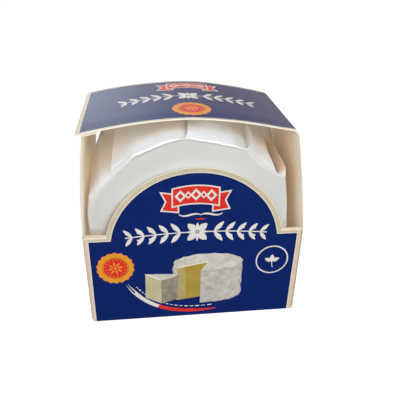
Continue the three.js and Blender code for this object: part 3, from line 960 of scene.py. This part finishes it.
# Creases: angle from +X in degrees and distance from the axis, at stations
# along the depth. They run anticlockwise seen from the front.
STATIONS = [-25.0, -22.5, -20.0, -15.0, -10.0, -5.0, 0.0, 8.0, 20.6]
CREASES = [
    # (angles, radii, rim rounding)
    ([2, 2, 2, 2, 2, 2, 2, 3, 3], [42.4, 42.8, 43.1, 43.9, 44.6, 45.3, 45.8, 46.2, 46.4], 0.9),
    ([20, 20, 20, 20, 20, 20, 20, 20, 20], [43.5, 43.8, 44.1, 44.9, 45.7, 46.4, 46.8, 47.2, 47.5], 0.9),
    ([29, 29, 29, 29, 28.5, 28, 28, 28, 27], [45.4, 45.7, 45.9, 46.3, 46.7, 47.1, 47.4, 47.8, 48.0], 0.8),
    ([31.5, 31.5, 31.5, 32.0, 32.5, 33.0, 33.6, 34.8, 36.0], [45.6, 46.8, 47.6, 48.3, 48.7, 49.1, 49.6, 51.4, 54.2], 0.7),
    # the ear's ridge, the shelf under the right flap's edge and that edge
    ([33.8, 34.2, 34.8, 35.4, 36.9, 38.6, 40.7, 43.4, 45.5], [46.1, 47.7, 48.8, 49.5, 49.8, 50.2, 50.3, 50.9, 51.6], 0.6),
    ([34.7, 35.3, 36.1, 36.9, 38.4, 40.0, 42.0, 44.4, 46.3], [45.5, 46.6, 47.4, 48.0, 48.5, 49.0, 49.2, 50.0, 50.9], 0.6),
    ([36.4, 38.9, 41.0, 43.3, 43.4, 43.8, 44.7, 46.6, 48.2], [44.8, 44.9, 45.1, 45.5, 46.0, 46.6, 47.2, 48.4, 49.9], 0.5),
    ([37.2, 40.0, 42.3, 44.7, 45.0, 45.4, 46.1, 47.8, 49.2], [44.2, 43.0, 42.4, 42.2, 42.4, 43.0, 44.0, 46.0, 48.4], 0.5),
    ([37.4, 40.0, 42.0, 44.4, 44.7, 45.1, 45.8, 47.5, 48.9], [44.3, 45.0, 45.7, 46.7, 47.5, 48.3, 49.0, 50.2, 51.4], 0.5),
    ([49, 49.2, 49.5, 50.0, 50.4, 50.8, 51.2, 51.6, 52.0], [43.2, 44.1, 44.8, 45.8, 46.7, 47.7, 48.6, 49.8, 50.9], 2.2),
    # the pleat right of the middle: its foot, ridge and hollow
    ([60.2, 58.7, 57.7, 56.5, 56.8, 57.3, 57.0, 56.3, 54.2], [43.9, 44.4, 44.9, 46.0, 46.9, 47.7, 48.5, 49.8, 50.9], 1.2),
    ([61.4, 59.7, 58.6, 57.3, 57.5, 58.0, 57.7, 56.9, 54.7], [44.1, 45.4, 46.3, 47.6, 48.5, 49.2, 49.8, 50.8, 51.5], 0.7),
    ([62.2, 60.4, 59.2, 57.8, 58.0, 58.5, 58.2, 57.4, 55.2], [43.8, 43.7, 43.7, 43.9, 44.4, 45.2, 46.1, 47.6, 49.2], 0.6),
    ([63.8, 62.4, 61.6, 60.6, 60.8, 61.3, 61.0, 60.2, 58.0], [43.6, 43.7, 43.8, 44.1, 44.7, 45.5, 46.4, 47.9, 49.6], 0.6),
    ([68, 68, 68, 68, 68, 68, 68, 67, 66], [43.3, 43.9, 44.3, 45.0, 45.7, 46.6, 47.5, 49.0, 50.9], 0.7),
    ([77, 77, 77, 76, 76, 76, 76, 76, 76], [43.0, 43.6, 44.1, 45.1, 46.1, 47.1, 48.1, 49.5, 51.6], 1.0),
    # the middle fold: the right flap's free edge lies over the left one
    ([94.9, 93.5, 93.0, 92.3, 91.6, 91.0, 90.4, 89.5, 88.1], [44.2, 45.0, 45.7, 46.7, 47.6, 48.5, 49.3, 50.6, 52.3], 0.6),
    ([95.5, 93.7, 93.1, 92.4, 91.8, 91.2, 90.6, 89.7, 88.3], [43.9, 44.0, 44.3, 44.9, 45.6, 46.5, 47.5, 49.0, 51.2], 0.6),
    ([97.0, 95.2, 94.7, 94.1, 93.5, 92.9, 92.3, 91.4, 90.0], [44.0, 44.1, 44.4, 45.0, 45.8, 46.7, 47.6, 49.2, 51.2], 0.6),
    ([98.6, 97.6, 97.2, 96.6, 96.0, 95.4, 94.8, 94.1, 92.8], [44.1, 44.5, 44.8, 45.5, 46.3, 47.2, 48.1, 49.5, 51.5], 0.7),
    ([106, 106, 106, 105, 105, 104, 104, 104, 104], [44.1, 44.6, 45.0, 45.9, 46.8, 47.7, 48.5, 49.9, 51.8], 1.1),
    ([123, 123, 122.6, 122, 121.5, 121, 120.5, 120, 119], [44.5, 44.9, 45.4, 46.2, 47.1, 48.0, 48.9, 50.3, 52.1], 1.2),
    # the left fold
    ([138.1, 137.3, 136.6, 135.1, 133.5, 132.2, 131.0, 129.2, 127.3], [44.6, 45.3, 45.9, 47.0, 48.0, 48.9, 49.8, 51.2, 52.8], 2.2),
    ([138.8, 138.1, 137.5, 136.1, 134.5, 133.2, 132.0, 130.2, 128.3], [44.6, 44.6, 44.7, 45.3, 46.1, 47.0, 47.9, 49.5, 51.5], 2.4),
    ([146, 146, 146, 145.6, 145.2, 144.6, 144, 143, 141.6], [45.6, 46.1, 46.5, 47.1, 47.6, 48.3, 49.4, 50.5, 51.0], 2.8),
    ([157, 157, 157, 157, 157, 157, 156.6, 155.6, 154.6], [46.9, 47.0, 47.1, 47.3, 47.5, 47.8, 48.3, 49.0, 49.5], 3.3),
    ([167, 167, 167, 167, 167, 167, 167, 167.5, 168], [45.4, 45.6, 45.7, 45.9, 46.0, 46.1, 46.2, 46.4, 46.6], 2.8),
    ([178, 178, 178, 178, 178, 178, 179, 180, 180], [44.1, 44.3, 44.5, 44.9, 45.2, 45.5, 45.7, 46.0, 46.2], 1.6),
    ([203, 203, 203, 203, 203, 202, 202, 201, 201], [44.1, 44.3, 44.6, 45.2, 45.7, 46.2, 46.6, 47.1, 47.4], 0.9),
    ([227] * 9, [43.5, 43.8, 44.1, 44.6, 45.2, 45.7, 46.1, 46.5, 46.8], 0.8),
    ([249] * 9, [43.9, 44.0, 44.2, 44.5, 44.8, 45.1, 45.4, 45.7, 46.0], 0.8),
    ([270] * 9, [44.6] * 9, 0.9),
    ([291] * 9, [43.9, 44.0, 44.2, 44.5, 44.8, 45.1, 45.4, 45.7, 46.0], 0.8),
    ([313, 313, 313, 313, 313, 313, 314, 314, 314], [43.5, 43.8, 44.1, 44.6, 45.2, 45.7, 46.1, 46.5, 46.8], 0.8),
    ([338] * 9, [43.6, 43.9, 44.2, 44.8, 45.4, 46.0, 46.5, 47.0, 47.4], 0.9),
]
# painted brown shade: how far each crease's paper is darkened to brown, where shade and the card's brown bounce light
# fall
BROWN_SHADE = {2: 0.15, 3: 0.75, 4: 0.75, 5: 0.95, 6: 1.0, 7: 1.0, 8: 0.0, 12: 0.28, 13: 0.12, 17: 0.3, 18: 0.22}
# painted warm shade on the left fold's front, beside the left wall
BROWN_SHADE_FRONT = {24: 0.13, 25: 0.27, 26: 0.2}
# painted highlights along sharp ridges, and painted shadow in the bottoms of folds
CREASE_HIGHLIGHT = {4: 0.5, 8: 0.6, 11: 0.9, 16: 0.85, 22: 0.35}
FOLD_SHADE = {6: 1.0, 7: 1.0, 12: 0.22, 17: 0.17}
PAPER_GAP = 0.12

# the room inside the card, for keeping the paper off it
inner_section = []
_n = len(PATH)
_tang = np.gradient(PATH, axis=0)
_tang /= np.linalg.norm(_tang, axis=1)[:, None]
_inward = np.stack([_tang[:, 1], -_tang[:, 0]], axis=1)
ROOM = PATH + _inward * (CARD + PAPER_GAP + 0.1)
ROOM = ROOM[: PATH_MARKS["left_top"] + 1]
ROOM_SHIFT = np.array([side_shift(x, z) for x, z in ROOM])


def room_at(angle, y):
    """Distance from the axis to the card's inner face, less the gap."""
    t = clamp01((y - FRONT) / DEPTH)
    s = np.clip((ROOM[:, 1] - LEAN_Z) / (LID_Z - LEAN_Z), 0, 1)
    left = np.clip((LID_X - ROOM[:, 0]) / LID_SPAN, 0, 1)
    k = np.clip((ROOM[:, 1] - LEAN_Z) / (LEFT_TOP[0] - LEAN_Z), 0, 1)
    pull = np.where(ROOM[:, 0] < -30, WALL_PULL * k * (1 - k) ** 0.8, 0.0)
    xs = ROOM[:, 0] + ((SKEW_X + (LEFT_SKEW_X - SKEW_X) * left) * s + pull) * t + ROOM_SHIFT - AX
    zs = ROOM[:, 1] + (SKEW_Z + (LEFT_SKEW_Z - SKEW_Z) * left) * s * t - AZ
    dx, dz = math.cos(angle), math.sin(angle)
    ex, ez = np.diff(xs), np.diff(zs)
    det = dx * -ez + dz * ex
    det = np.where(np.abs(det) < 1e-9, 1e-9, det)
    r = (xs[:-1] * -ez + zs[:-1] * ex) / det
    q = (dx * zs[:-1] - dz * xs[:-1]) / det
    ok = (r > 0) & (q >= -1e-6) & (q <= 1 + 1e-6)
    return float(r[ok].min()) if ok.any() else 60.0


def build_wrap():
    k_n = len(CREASES)
    th = np.array([c[0] for c in CREASES], float)
    ra = np.array([c[1] for c in CREASES], float)
    rim = np.array([c[2] for c in CREASES], float)
    # columns: how many per span
    cols = []
    for k in range(k_n):
        a, b = th[k, 0], th[(k + 1) % k_n, 0] + (360 if k == k_n - 1 else 0)
        n = max(3, int(round((b - a) / (0.58 if b < 185 else 1.3)))) + (5 if k == 5 else 0)
        cols += [(k, i / n) for i in range(n)]
    kk = np.array([c[0] for c in cols])
    ff = np.array([c[1] for c in cols])
    nxt = (kk + 1) % k_n
    wrap_turn = np.where(kk == k_n - 1, 360.0, 0.0)
    n_col = len(cols)

    def ring(y):
        """Angle and radius of every column at depth y."""
        yy = min(max(y, STATIONS[0]), STATIONS[-1])
        tk = np.array([np.interp(yy, STATIONS, th[k]) for k in range(k_n)])
        rk = np.array([np.interp(yy, STATIONS, ra[k]) for k in range(k_n)])
        a0, a1 = np.radians(tk[kk]), np.radians(tk[nxt] + wrap_turn)
        x = rk[kk] * np.cos(a0) * (1 - ff) + rk[nxt] * np.cos(a1) * ff
        z = rk[kk] * np.sin(a0) * (1 - ff) + rk[nxt] * np.sin(a1) * ff
        ang = np.unwrap(np.arctan2(z, x))
        r = np.maximum(np.hypot(x, z), CHEESE_R + 0.15)
        return ang, r

    rim_c = rim[kk] * (1 - ff) + rim[nxt] * ff
    # per-column painted brown shade, painted fold shadow and painted highlight
    brown_shade = np.array([BROWN_SHADE.get(k, 0.0) for k in range(k_n)])
    brown_shade_c = brown_shade[kk] * (1 - ff) + brown_shade[nxt] * ff
    brown_shade = np.array([BROWN_SHADE_FRONT.get(k, 0.0) for k in range(k_n)])
    brown_shade_f = brown_shade[kk] * (1 - ff) + brown_shade[nxt] * ff
    # painted shadow in the bottoms of folds
    deep_shade = np.array([FOLD_SHADE.get(k, 0.0) for k in range(k_n)])
    deep_c = (deep_shade[kk] * (1 - ff) + deep_shade[nxt] * ff) ** 0.9
    # painted highlight along the creased ridges, spread a little to neighbouring columns
    crease_c = np.zeros(n_col)
    for i in range(n_col):
        if ff[i] == 0:
            w = CREASE_HIGHLIGHT.get(int(kk[i]), 0.0)
            for j, share in ((i, 1.0), (i - 1, 0.4), ((i + 1) % n_col, 0.4)):
                crease_c[j] = max(crease_c[j], w * share)
    rows = []
    # front face
    ang0, r0 = ring(FACE_Y)
    face_edge = r0 - rim_c
    deg = np.degrees(ang0)
    # the folded rim stands up in two long beads, the left one ending in a knob
    bead = (0.42 * np.interp(deg, [95.5, 98, 103, 119, 122.5, 124.5, 126.5], [0, 0.6, 1, 1, 1.3, 0.4, 0])
            + 0.36 * np.interp(deg, [60, 63, 70, 88, 93, 94.9], [0, 0.8, 1, 1, 0.8, 0]))
    lift_c = 1 - 0.45 * np.interp(deg, [38, 41, 56, 60, 62, 86, 93], [0, 1, 1, 0.6, 0.45, 0.45, 0.1])
    # how strongly each column takes the painted tan shade under the lid
    within_c = np.interp(deg, [28, 34, 38, 48, 56, 62, 68, 80, 93, 104, 113, 122, 136, 139],
                         [0.6, 1, 0.9, 0.6, 0.65, 0.75, 0.75, 0.6, 0.85, 0.85, 0.7, 0.4, 0.5, 0.65])
    for s in (0.15, 0.3, 0.45, 0.58, 0.68, 0.76, 0.82, 0.87):
        rows.append(("face", ang0, face_edge * s, np.full(n_col, FACE_Y)))
    for back in (4.2, 3.2, 2.4, 1.8, 1.3, 0.85, 0.45, 0.12):
        groove = bead * 0.1 * math.exp(-((back - 0.75) / 0.75) ** 2)
        rows.append(("face", ang0, face_edge - back, FACE_Y + groove))
    # rounded rim
    for j in range(0, 9):
        a = math.pi / 2 * j / 8
        lift = bead * math.sin(math.pi * min(1.0, (j + 1) / 8)) ** 1.0
        y = FACE_Y + rim_c * (1 - math.cos(a)) - lift * math.cos(a)
        rows.append(("rim", ang0, face_edge + rim_c * math.sin(a) + lift * math.sin(a), y))
    # sides
    n_side = 64
    start = FACE_Y + rim_c
    for j in range(1, n_side + 1):
        q = j / n_side
        y = start + (SIDE_END - start) * q
        ang = np.empty(n_col)
        r = np.empty(n_col)
        # columns whose rounding is larger start further back
        levels = {}
        for yv in np.unique(np.round(y, 3)):
            levels[yv] = ring(yv)
        yr = np.round(y, 3)
        for i in range(n_col):
            g = levels[yr[i]]
            ang[i], r[i] = g[0][i], g[1][i]
        # a slight dip behind the beads
        r = r - bead * 0.35 * np.exp(-((y - start - 1.3) / 0.9) ** 2)
        rows.append(("side", ang, r, y))
    # how much painted shade falls under the lid, by column
    under_c = 0.38 * np.interp(deg, [86, 93, 110, 126, 136], [0, 1, 0.8, 0.4, 0])
    return rows, n_col, face_edge, brown_shade_c, brown_shade_f, crease_c, deep_c, lift_c, within_c, bead, deg, under_c


rows, n_col, face_edge, brown_shade_c, brown_shade_f, crease_c, deep_c, lift_c, within_c, bead, deg_c, under_c = build_wrap()


def smooth_step(a, b, v):
    t = clamp01((v - a) / (b - a))
    return t * t * (3 - 2 * t)


def finish_wrap():
    co = []
    kinds = []
    brown_shade, inner, ridge_highlight, deep_shade, contact_shade = [], [], [], [], []
    rim_row = 0
    room_cache = {}

    def room(angle, y):
        key = (round(angle * 200), round(y * 2))
        if key not in room_cache:
            room_cache[key] = room_at(key[0] / 200, key[1] / 2)
        return room_cache[key]

    for kind, ang, r, y in rows:
        for i in range(n_col):
            a, rr, yy = float(ang[i]), float(r[i]), float(y[i])
            x0, z0 = rr * math.cos(a), rr * math.sin(a)
            if kind == "face":
                # the paper lies over the cheese with faint pulls towards the rim
                edge = smooth_step(0.0, 0.35, 1 - rr / face_edge[i])
                pull = wave(math.cos(a) * 9, math.sin(a) * 9, rr * 0.03, 1.0, 1.7)
                yy += 0.16 * edge * wave(x0, 0.0, z0, 17.0, 0.4) + 0.10 * (rr / face_edge[i]) ** 3 * pull * edge
            elif kind == "side":
                grow = smooth_step(0.0, 6.0, yy - FACE_Y)
                rr += grow * (0.28 * wave(x0, yy * 0.45, z0, 9.0, 2.2) + 0.12 * wave(x0, yy * 0.3, z0, 3.4, 6.1))
                rr = min(rr, room(a, yy))
            else:
                rr = min(rr, room(a, yy))
            co.append((AX + rr * math.cos(a), yy, AZ + rr * math.sin(a)))
            px, pz = AX + rr * math.cos(a), AZ + rr * math.sin(a)
            if kind == "side":
                # painted brown shade in the hollows and on the ear, fading towards the back, and on the left fold's
                # front
                brown_shade.append(brown_shade_c[i] * smooth_step(-25.0, -20.5, yy) * (1 - 0.92 * smooth_step(-4, 5, yy))
                             + brown_shade_f[i] * smooth_step(-25, -23, yy) * (1 - smooth_step(-18, -6, yy)))
                # painted tan shade deeper in under the lid; it starts further back right of the middle fold
                begin = -21.5 + 5.8 * clamp01((90 - deg_c[i]) / 6) * clamp01((deg_c[i] - 58) / 4)
                white = smooth_step(0, 5, yy) * clamp01((56 - deg_c[i]) / 6)
                inner.append(within_c[i] * smooth_step(begin, begin + 9.0, yy) * (1 - 0.8 * white))
                # painted light: just behind the rim the upper paper is lightened
                lit = float(np.interp(deg_c[i], [58, 64, 84, 92, 100, 108], [0, 0.5, 0.5, 0.3, 0.25, 0]))
                lit *= smooth_step(-21, -17, yy) * (1 - smooth_step(-13, -8, yy))
                ridge_highlight.append(max(crease_c[i] * (1 - 0.7 * smooth_step(-14, 0, yy)), lit))
                # painted shadow: a dark spot on the paper's top left, behind the glue flap's end
                gap_shadow = 0.85 * math.exp(-((math.degrees(a) - 140.3) / 1.3) ** 2 - ((yy - 15.5) / 2.8) ** 2)
                deep_shade.append(max(gap_shadow, deep_c[i] * smooth_step(-25.0, -23.0, yy) * (1 - 0.95 * smooth_step(-12, -3, yy))))
            else:
                brown_shade.append(0.0)
                inner.append(0.0)
                deep_shade.append(0.0)
                # painted highlight along the rim's beads
                ridge_highlight.append(min(1.0, bead[i] / 0.36 * math.sin(math.pi * rim_row / 9) + 0.7 * crease_c[i]) if kind == "rim" else 0.0)
            # painted shade: the paper's front is darker just above the card's two shoulders
            down = smooth_step(50.8, 47.0, pz) if pz < 50.8 else 0.0
            if yy < -21:
                dim = down * max(smooth_step(-36.0, -39.5, px) * 0.75, smooth_step(37.0, 40.0, px) * 0.4)
                # and painted warm shade close to the panel's arch
                off_arch = math.hypot(px - ARCH_X, pz - ARCH_Z) - ARCH_R + 0.4
                if px < 0:
                    wide = float(np.interp(pz, [46, 51, 55, 60, 66], [5.0, 4.8, 3.4, 2.4, 1.4]))
                    near = float(np.interp(pz, [46, 55, 60, 67], [0.6, 0.55, 0.45, 0.0]))
                else:
                    wide, near = 2.0, float(np.interp(pz, [46, 50, 56], [0.45, 0.35, 0.0]))
                # painted shade along the paper's far left
                margin = (0.12 + 0.05 * smooth_step(62, 66, pz)) * smooth_step(-37.0, -41.0, px) * smooth_step(74, 69, pz)
                contact_shade.append(max(dim, margin, near * clamp01(1 - off_arch / wide)))
            else:
                # painted shade under the lid, left of the middle fold
                contact_shade.append(under_c[i] * smooth_step(-19, -13, yy))
        if kind == "rim":
            rim_row += 1
        kinds.append(kind)
    # the gathered back
    kind, ang, r, y = rows[-1]
    last = [min(float(r[i]), room(float(ang[i]), SIDE_END)) for i in range(n_col)]
    steps = [(0.5, 21.7), (1.6, 22.8), (3.2, 23.6), (5.4, 24.2)] + [(5.4 + 3.0 * k, 24.3 + 0.08 * k) for k in range(1, 11)]
    n_pleat = 26
    for j, (shrink, yb) in enumerate(steps):
        for i in range(n_col):
            a = float(ang[i])
            rr = last[i] - shrink
            # overlapped radial folds that turn a little as they run to the middle
            turn = a * n_pleat / (2 * math.pi) + 0.035 * shrink + 0.22 * math.sin(3 * a + 1.0)
            saw = turn - math.floor(turn)
            depth = 0.95 * smooth_step(0.3, 3.5, shrink) * (1 - 0.75 * smooth_step(28, 46, shrink))
            yy = yb - depth * (1 - saw) ** 1.0 + 0.25 * wave(rr * math.cos(a), 3.0, rr * math.sin(a), 8.0, 4.4)
            co.append((AX + rr * math.cos(a), min(yy, BACK_END), AZ + rr * math.sin(a)))
        kinds.append("back")
    n_rows = len(kinds)
    front_pole = len(co)
    co.append((AX, FACE_Y, AZ))
    back_pole = len(co)
    co.append((AX, steps[-1][1] - 0.3, AZ))
    faces = []
    for i in range(n_col):
        faces.append((front_pole, i, (i + 1) % n_col))
    for j in range(n_rows - 1):
        a0, b0 = j * n_col, (j + 1) * n_col
        for i in range(n_col):
            i2 = (i + 1) % n_col
            faces.append((a0 + i, b0 + i, b0 + i2, a0 + i2))
    e = (n_rows - 1) * n_col
    for i in range(n_col):
        faces.append((back_pole, e + (i + 1) % n_col, e + i))
    mesh = bpy.data.meshes.new("paper_wrap")
    mesh.from_pydata([tuple(c * MM for c in p) for p in co], [], faces)
    mesh.polygons.foreach_set("use_smooth", [True] * len(faces))
    mesh.update()
    off = [smooth_step(FACE_Y + 0.3, FACE_Y + 2.2, p[1]) * (float(lift_c[i % n_col]) if i < front_pole else 1.0)
           for i, p in enumerate(co)]
    for label, values in (("within", inner), ("painted_brown_shade", brown_shade), ("ridge_highlight", ridge_highlight), ("fold_shadow", deep_shade),
                          ("contact_shade", contact_shade), ("lifted", off)):
        layer = mesh.attributes.new(label, "FLOAT", "POINT")
        layer.data.foreach_set("value", values + [0.0] * (len(co) - len(values)))
    obj = bpy.data.objects.new("paper_wrap", mesh)
    bpy.context.scene.collection.objects.link(obj)
    return obj


wrap = finish_wrap()

paper = Nodes("wrapping_paper")
fine = paper.noise(700.0, 5.0, 0.65)
broad = paper.noise(60.0, 4.0, 0.55)
tone = paper.add(paper.scaled(fine, 0.35), paper.scaled(broad, 0.65))


def paper_tone(low, mid, high):
    return paper.ramp(tone, [(0.3, low), (0.55, mid), (0.75, high)])


def layered(under, name, over):
    """The tone `over` laid on `under` as far as the mesh's layer `name` says."""
    layer = paper.new("ShaderNodeAttribute", attribute_name=name)
    m = paper.new("ShaderNodeMix", data_type="RGBA")
    paper.link(layer.outputs["Fac"], m.inputs["Factor"])
    paper.link(under, m.inputs[6])
    paper.link(over, m.inputs[7])
    return m.outputs[2]


on_cheese = paper_tone((0.63, 0.64, 0.625), (0.67, 0.68, 0.665), (0.70, 0.71, 0.695))
off_cheese = paper_tone((0.735, 0.79, 0.85), (0.765, 0.82, 0.885), (0.795, 0.85, 0.915))
# painted light and shade: 'shaded' is the tan under the lid, and the tones below are painted brown shade, painted
# highlight, painted fold shadow and painted contact shade
shaded = paper_tone((0.82, 0.70, 0.56), (0.85, 0.74, 0.60), (0.88, 0.78, 0.64))
brown_shade_tone = paper_tone((0.485, 0.335, 0.23), (0.54, 0.39, 0.28), (0.62, 0.47, 0.35))
highlight_tone = paper_tone((0.92, 0.94, 0.94), (0.94, 0.96, 0.96), (0.96, 0.98, 0.98))
fold_shadow = paper_tone((0.13, 0.09, 0.06), (0.17, 0.12, 0.085), (0.22, 0.16, 0.12))
contact_shade_tone = paper_tone((0.38, 0.305, 0.22), (0.42, 0.345, 0.25), (0.46, 0.385, 0.29))
sides = layered(off_cheese, "within", shaded)
colour = layered(on_cheese, "lifted", sides)
colour = layered(colour, "painted_brown_shade", brown_shade_tone)
colour = layered(colour, "fold_shadow", fold_shadow)
colour = layered(colour, "ridge_highlight", highlight_tone)
colour = layered(colour, "contact_shade", contact_shade_tone)
paper.link(colour, paper.bsdf.inputs["Base Color"])
paper.bsdf.inputs["Roughness"].default_value = 0.33
paper.bsdf.inputs["Specular IOR Level"].default_value = 0.5
paper.bsdf.inputs["Coat Weight"].default_value = 0.35
paper.bsdf.inputs["Coat Roughness"].default_value = 0.2
crinkle = paper.add(paper.scaled(paper.noise(330.0, 4.0, 0.6), 0.6), paper.scaled(paper.noise(1500.0, 3.0, 0.6), 0.25),
                    paper.scaled(paper.noise(110.0, 3.0, 0.55), 0.9))
pb = paper.bump(crinkle, 0.35, 0.0003)
paper.link(pb.outputs["Normal"], paper.bsdf.inputs["Normal"])
wrap.data.materials.append(paper.mat)

# ---------------------------------------------------------------- assembling

for o in card_pieces:
    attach(o, "root")
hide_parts("carton")
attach(wrap, "root")
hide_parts("wrapped_cheese")

# ------------------------------------------------------------ floor and light

floor_mesh = bpy.data.meshes.new("floor")
# flat for 4 m around the pack, then curving up as a studio sweep does
sweep = [(4.0, 0.0), (4.8, 0.15), (5.5, 0.6), (6.0, 1.4), (6.2, 2.6), (6.3, 5.0)]
SEG = 48
floor_co = [(0.0, 0.0, 0.0)] + [(r * math.cos(2 * math.pi * i / SEG), r * math.sin(2 * math.pi * i / SEG), h) for r, h in sweep for i in range(SEG)]
floor_faces = [(0, 1 + i, 1 + (i + 1) % SEG) for i in range(SEG)]
for j in range(len(sweep) - 1):
    for i in range(SEG):
        a, b = 1 + j * SEG + i, 1 + j * SEG + (i + 1) % SEG
        floor_faces.append((a, a + SEG, b + SEG, b))
floor_mesh.from_pydata(floor_co, [], floor_faces)
floor_mesh.polygons.foreach_set("use_smooth", [True] * len(floor_faces))
floor = bpy.data.objects.new("floor", floor_mesh)
floor.location = (0, 0, -0.0002)
bpy.context.scene.collection.objects.link(floor)
fl = Nodes("pale_floor")
fl.link(fl.ramp(fl.noise(3.0, 2.0), [(0.3, (0.29, 0.29, 0.29)), (0.7, (0.31, 0.31, 0.31))]), fl.bsdf.inputs["Base Color"])
fl.bsdf.inputs["Roughness"].default_value = 0.9
fl.bsdf.inputs["Specular IOR Level"].default_value = 0.0
fl.bsdf.inputs["Emission Color"].default_value = (1, 1, 1, 1)
fl.bsdf.inputs["Emission Strength"].default_value = 0.95
floor_mesh.materials.append(fl.mat)
# the floor is a light table: it shows white and doesn't colour the pack
floor.visible_diffuse = False
floor.visible_glossy = False
floor.visible_shadow = False

world = bpy.data.worlds.new("studio")
bpy.context.scene.world = world
world.use_nodes = True
wt = world.node_tree
bg = wt.nodes["Background"]
bg.inputs["Strength"].default_value = 1.5


def wnode(kind, **values):
    n = wt.nodes.new(kind)
    for k, v in values.items():
        setattr(n, k, v)
    return n


def wramp(fac, stops):
    r = wnode("ShaderNodeValToRGB")
    els = r.color_ramp.elements
    els[0].position, els[0].color = stops[0][0], (*stops[0][1], 1)
    els[1].position, els[1].color = stops[-1][0], (*stops[-1][1], 1)
    for pos, col in stops[1:-1]:
        e = els.new(pos)
        e.color = (*col, 1)
    wt.links.new(fac, r.inputs["Fac"])
    return r.outputs["Color"]


def wshift(sock):
    """From -1..1 to 0..1."""
    a = wnode("ShaderNodeMath", operation="MULTIPLY_ADD")
    wt.links.new(sock, a.inputs[0])
    a.inputs[1].default_value = 0.5
    a.inputs[2].default_value = 0.5
    return a.outputs[0]


def wmix(fac, a, b):
    m = wnode("ShaderNodeMix", data_type="RGBA")
    wt.links.new(fac, m.inputs["Factor"])
    for sock, v in ((m.inputs[6], a), (m.inputs[7], b)):
        if isinstance(v, tuple):
            sock.default_value = (*v, 1)
        else:
            wt.links.new(v, sock)
    return m.outputs[2]


tc = wnode("ShaderNodeTexCoord")
sx = wnode("ShaderNodeSeparateXYZ")
wt.links.new(tc.outputs["Generated"], sx.inputs["Vector"])
back_wall = wramp(wshift(sx.outputs["X"]), [(0.30, (0.98, 1.0, 1.0)), (0.42, (0.80, 0.84, 0.86)), (0.53, (0.40, 0.37, 0.36)),
                                           (0.62, (0.34, 0.29, 0.25)), (0.74, (0.44, 0.38, 0.32)), (0.9, (0.5, 0.45, 0.4))])
front_wall = wramp(wshift(sx.outputs["X"]), [(0.1, (0.06, 0.06, 0.06)), (0.9, (0.06, 0.06, 0.06))])
to_back = wramp(wshift(sx.outputs["Y"]), [(0.58, (0, 0, 0)), (0.82, (1, 1, 1))])
upper = wmix(to_back, front_wall, back_wall)
rise = wramp(wshift(sx.outputs["Z"]), [(0.47, (0, 0, 0)), (0.53, (1, 1, 1))])
sky = wmix(rise, (0.03, 0.026, 0.022), upper)
wt.links.new(sky, bg.inputs["Color"])


def area(name, at, to, size, power, colour=(1, 1, 1)):
    d = bpy.data.lights.new(name, "AREA")
    d.shape = "RECTANGLE"
    d.size, d.size_y = size
    d.energy = power
    d.color = colour
    o = bpy.data.objects.new(name, d)
    o.location = at
    o.rotation_mode = "QUATERNION"
    o.rotation_quaternion = (Vector(to) - Vector(at)).to_track_quat("-Z", "Y")
    o.visible_camera = False
    bpy.context.scene.collection.objects.link(o)
    return o


area("left", (-0.92, -0.78, 0.54), (0, 0, 0.05), (0.8, 0.7), 3.9, (0.985, 0.99, 1.0))
area("key_left", (-0.4, -0.95, 0.62), (0, 0, 0.05), (0.6, 0.6), 2.9, (0.985, 0.995, 1.0))
area("key_right", (0.4, -0.95, 0.62), (0, 0, 0.05), (0.6, 0.6), 9.6, (1.0, 1.0, 0.99))
area("top", (0.0, -0.75, 1.12), (0, 0, 0.05), (0.7, 0.5), 0.9, (1.0, 1.0, 1.0))
area("low", (0.0, -1.15, 0.22), (0, 0, 0.05), (1.0, 0.35), 0.8, (1.0, 1.0, 1.0))

# soft light that has bounced about inside the sleeve, on its inner faces
inside = bpy.data.collections.new("sleeve_inside")
inside.objects.link(card_pieces[0])


beside = bpy.data.collections.new("paper_beside_wall")
beside.objects.link(wrap)


def bounce(name, way, strength, colour, onto=inside):
    d = bpy.data.lights.new(name, "SUN")
    d.energy = strength
    d.color = colour
    d.angle = 1.0
    d.use_shadow = False
    o = bpy.data.objects.new(name, d)
    o.location = (0, 0, 0.4)
    o.rotation_mode = "QUATERNION"
    o.rotation_quaternion = Vector(way).to_track_quat("-Z", "Y")
    o.light_linking.receiver_collection = onto
    o.visible_glossy = False
    bpy.context.scene.collection.objects.link(o)
    return o


bounce("bounce_left", (-0.94, 0.3, -0.15), 1.02, (0.97, 0.98, 1.0))
bounce("bounce_right", (0.94, 0.3, -0.15), 0.80, (1.0, 0.85, 0.70))
bounce("bounce_lid", (0.0, 0.25, 0.97), 0.95, (1.0, 0.89, 0.79))
bounce("bounce_paper", (0.97, 0.12, 0.12), 0.44, (1.0, 0.89, 0.75), beside)

bpy.context.scene.view_settings.view_transform = "Standard"
bpy.context.scene.view_settings.look = "None"
bpy.context.scene.view_settings.exposure = 0.0
bpy.context.scene.view_settings.gamma = 1.0
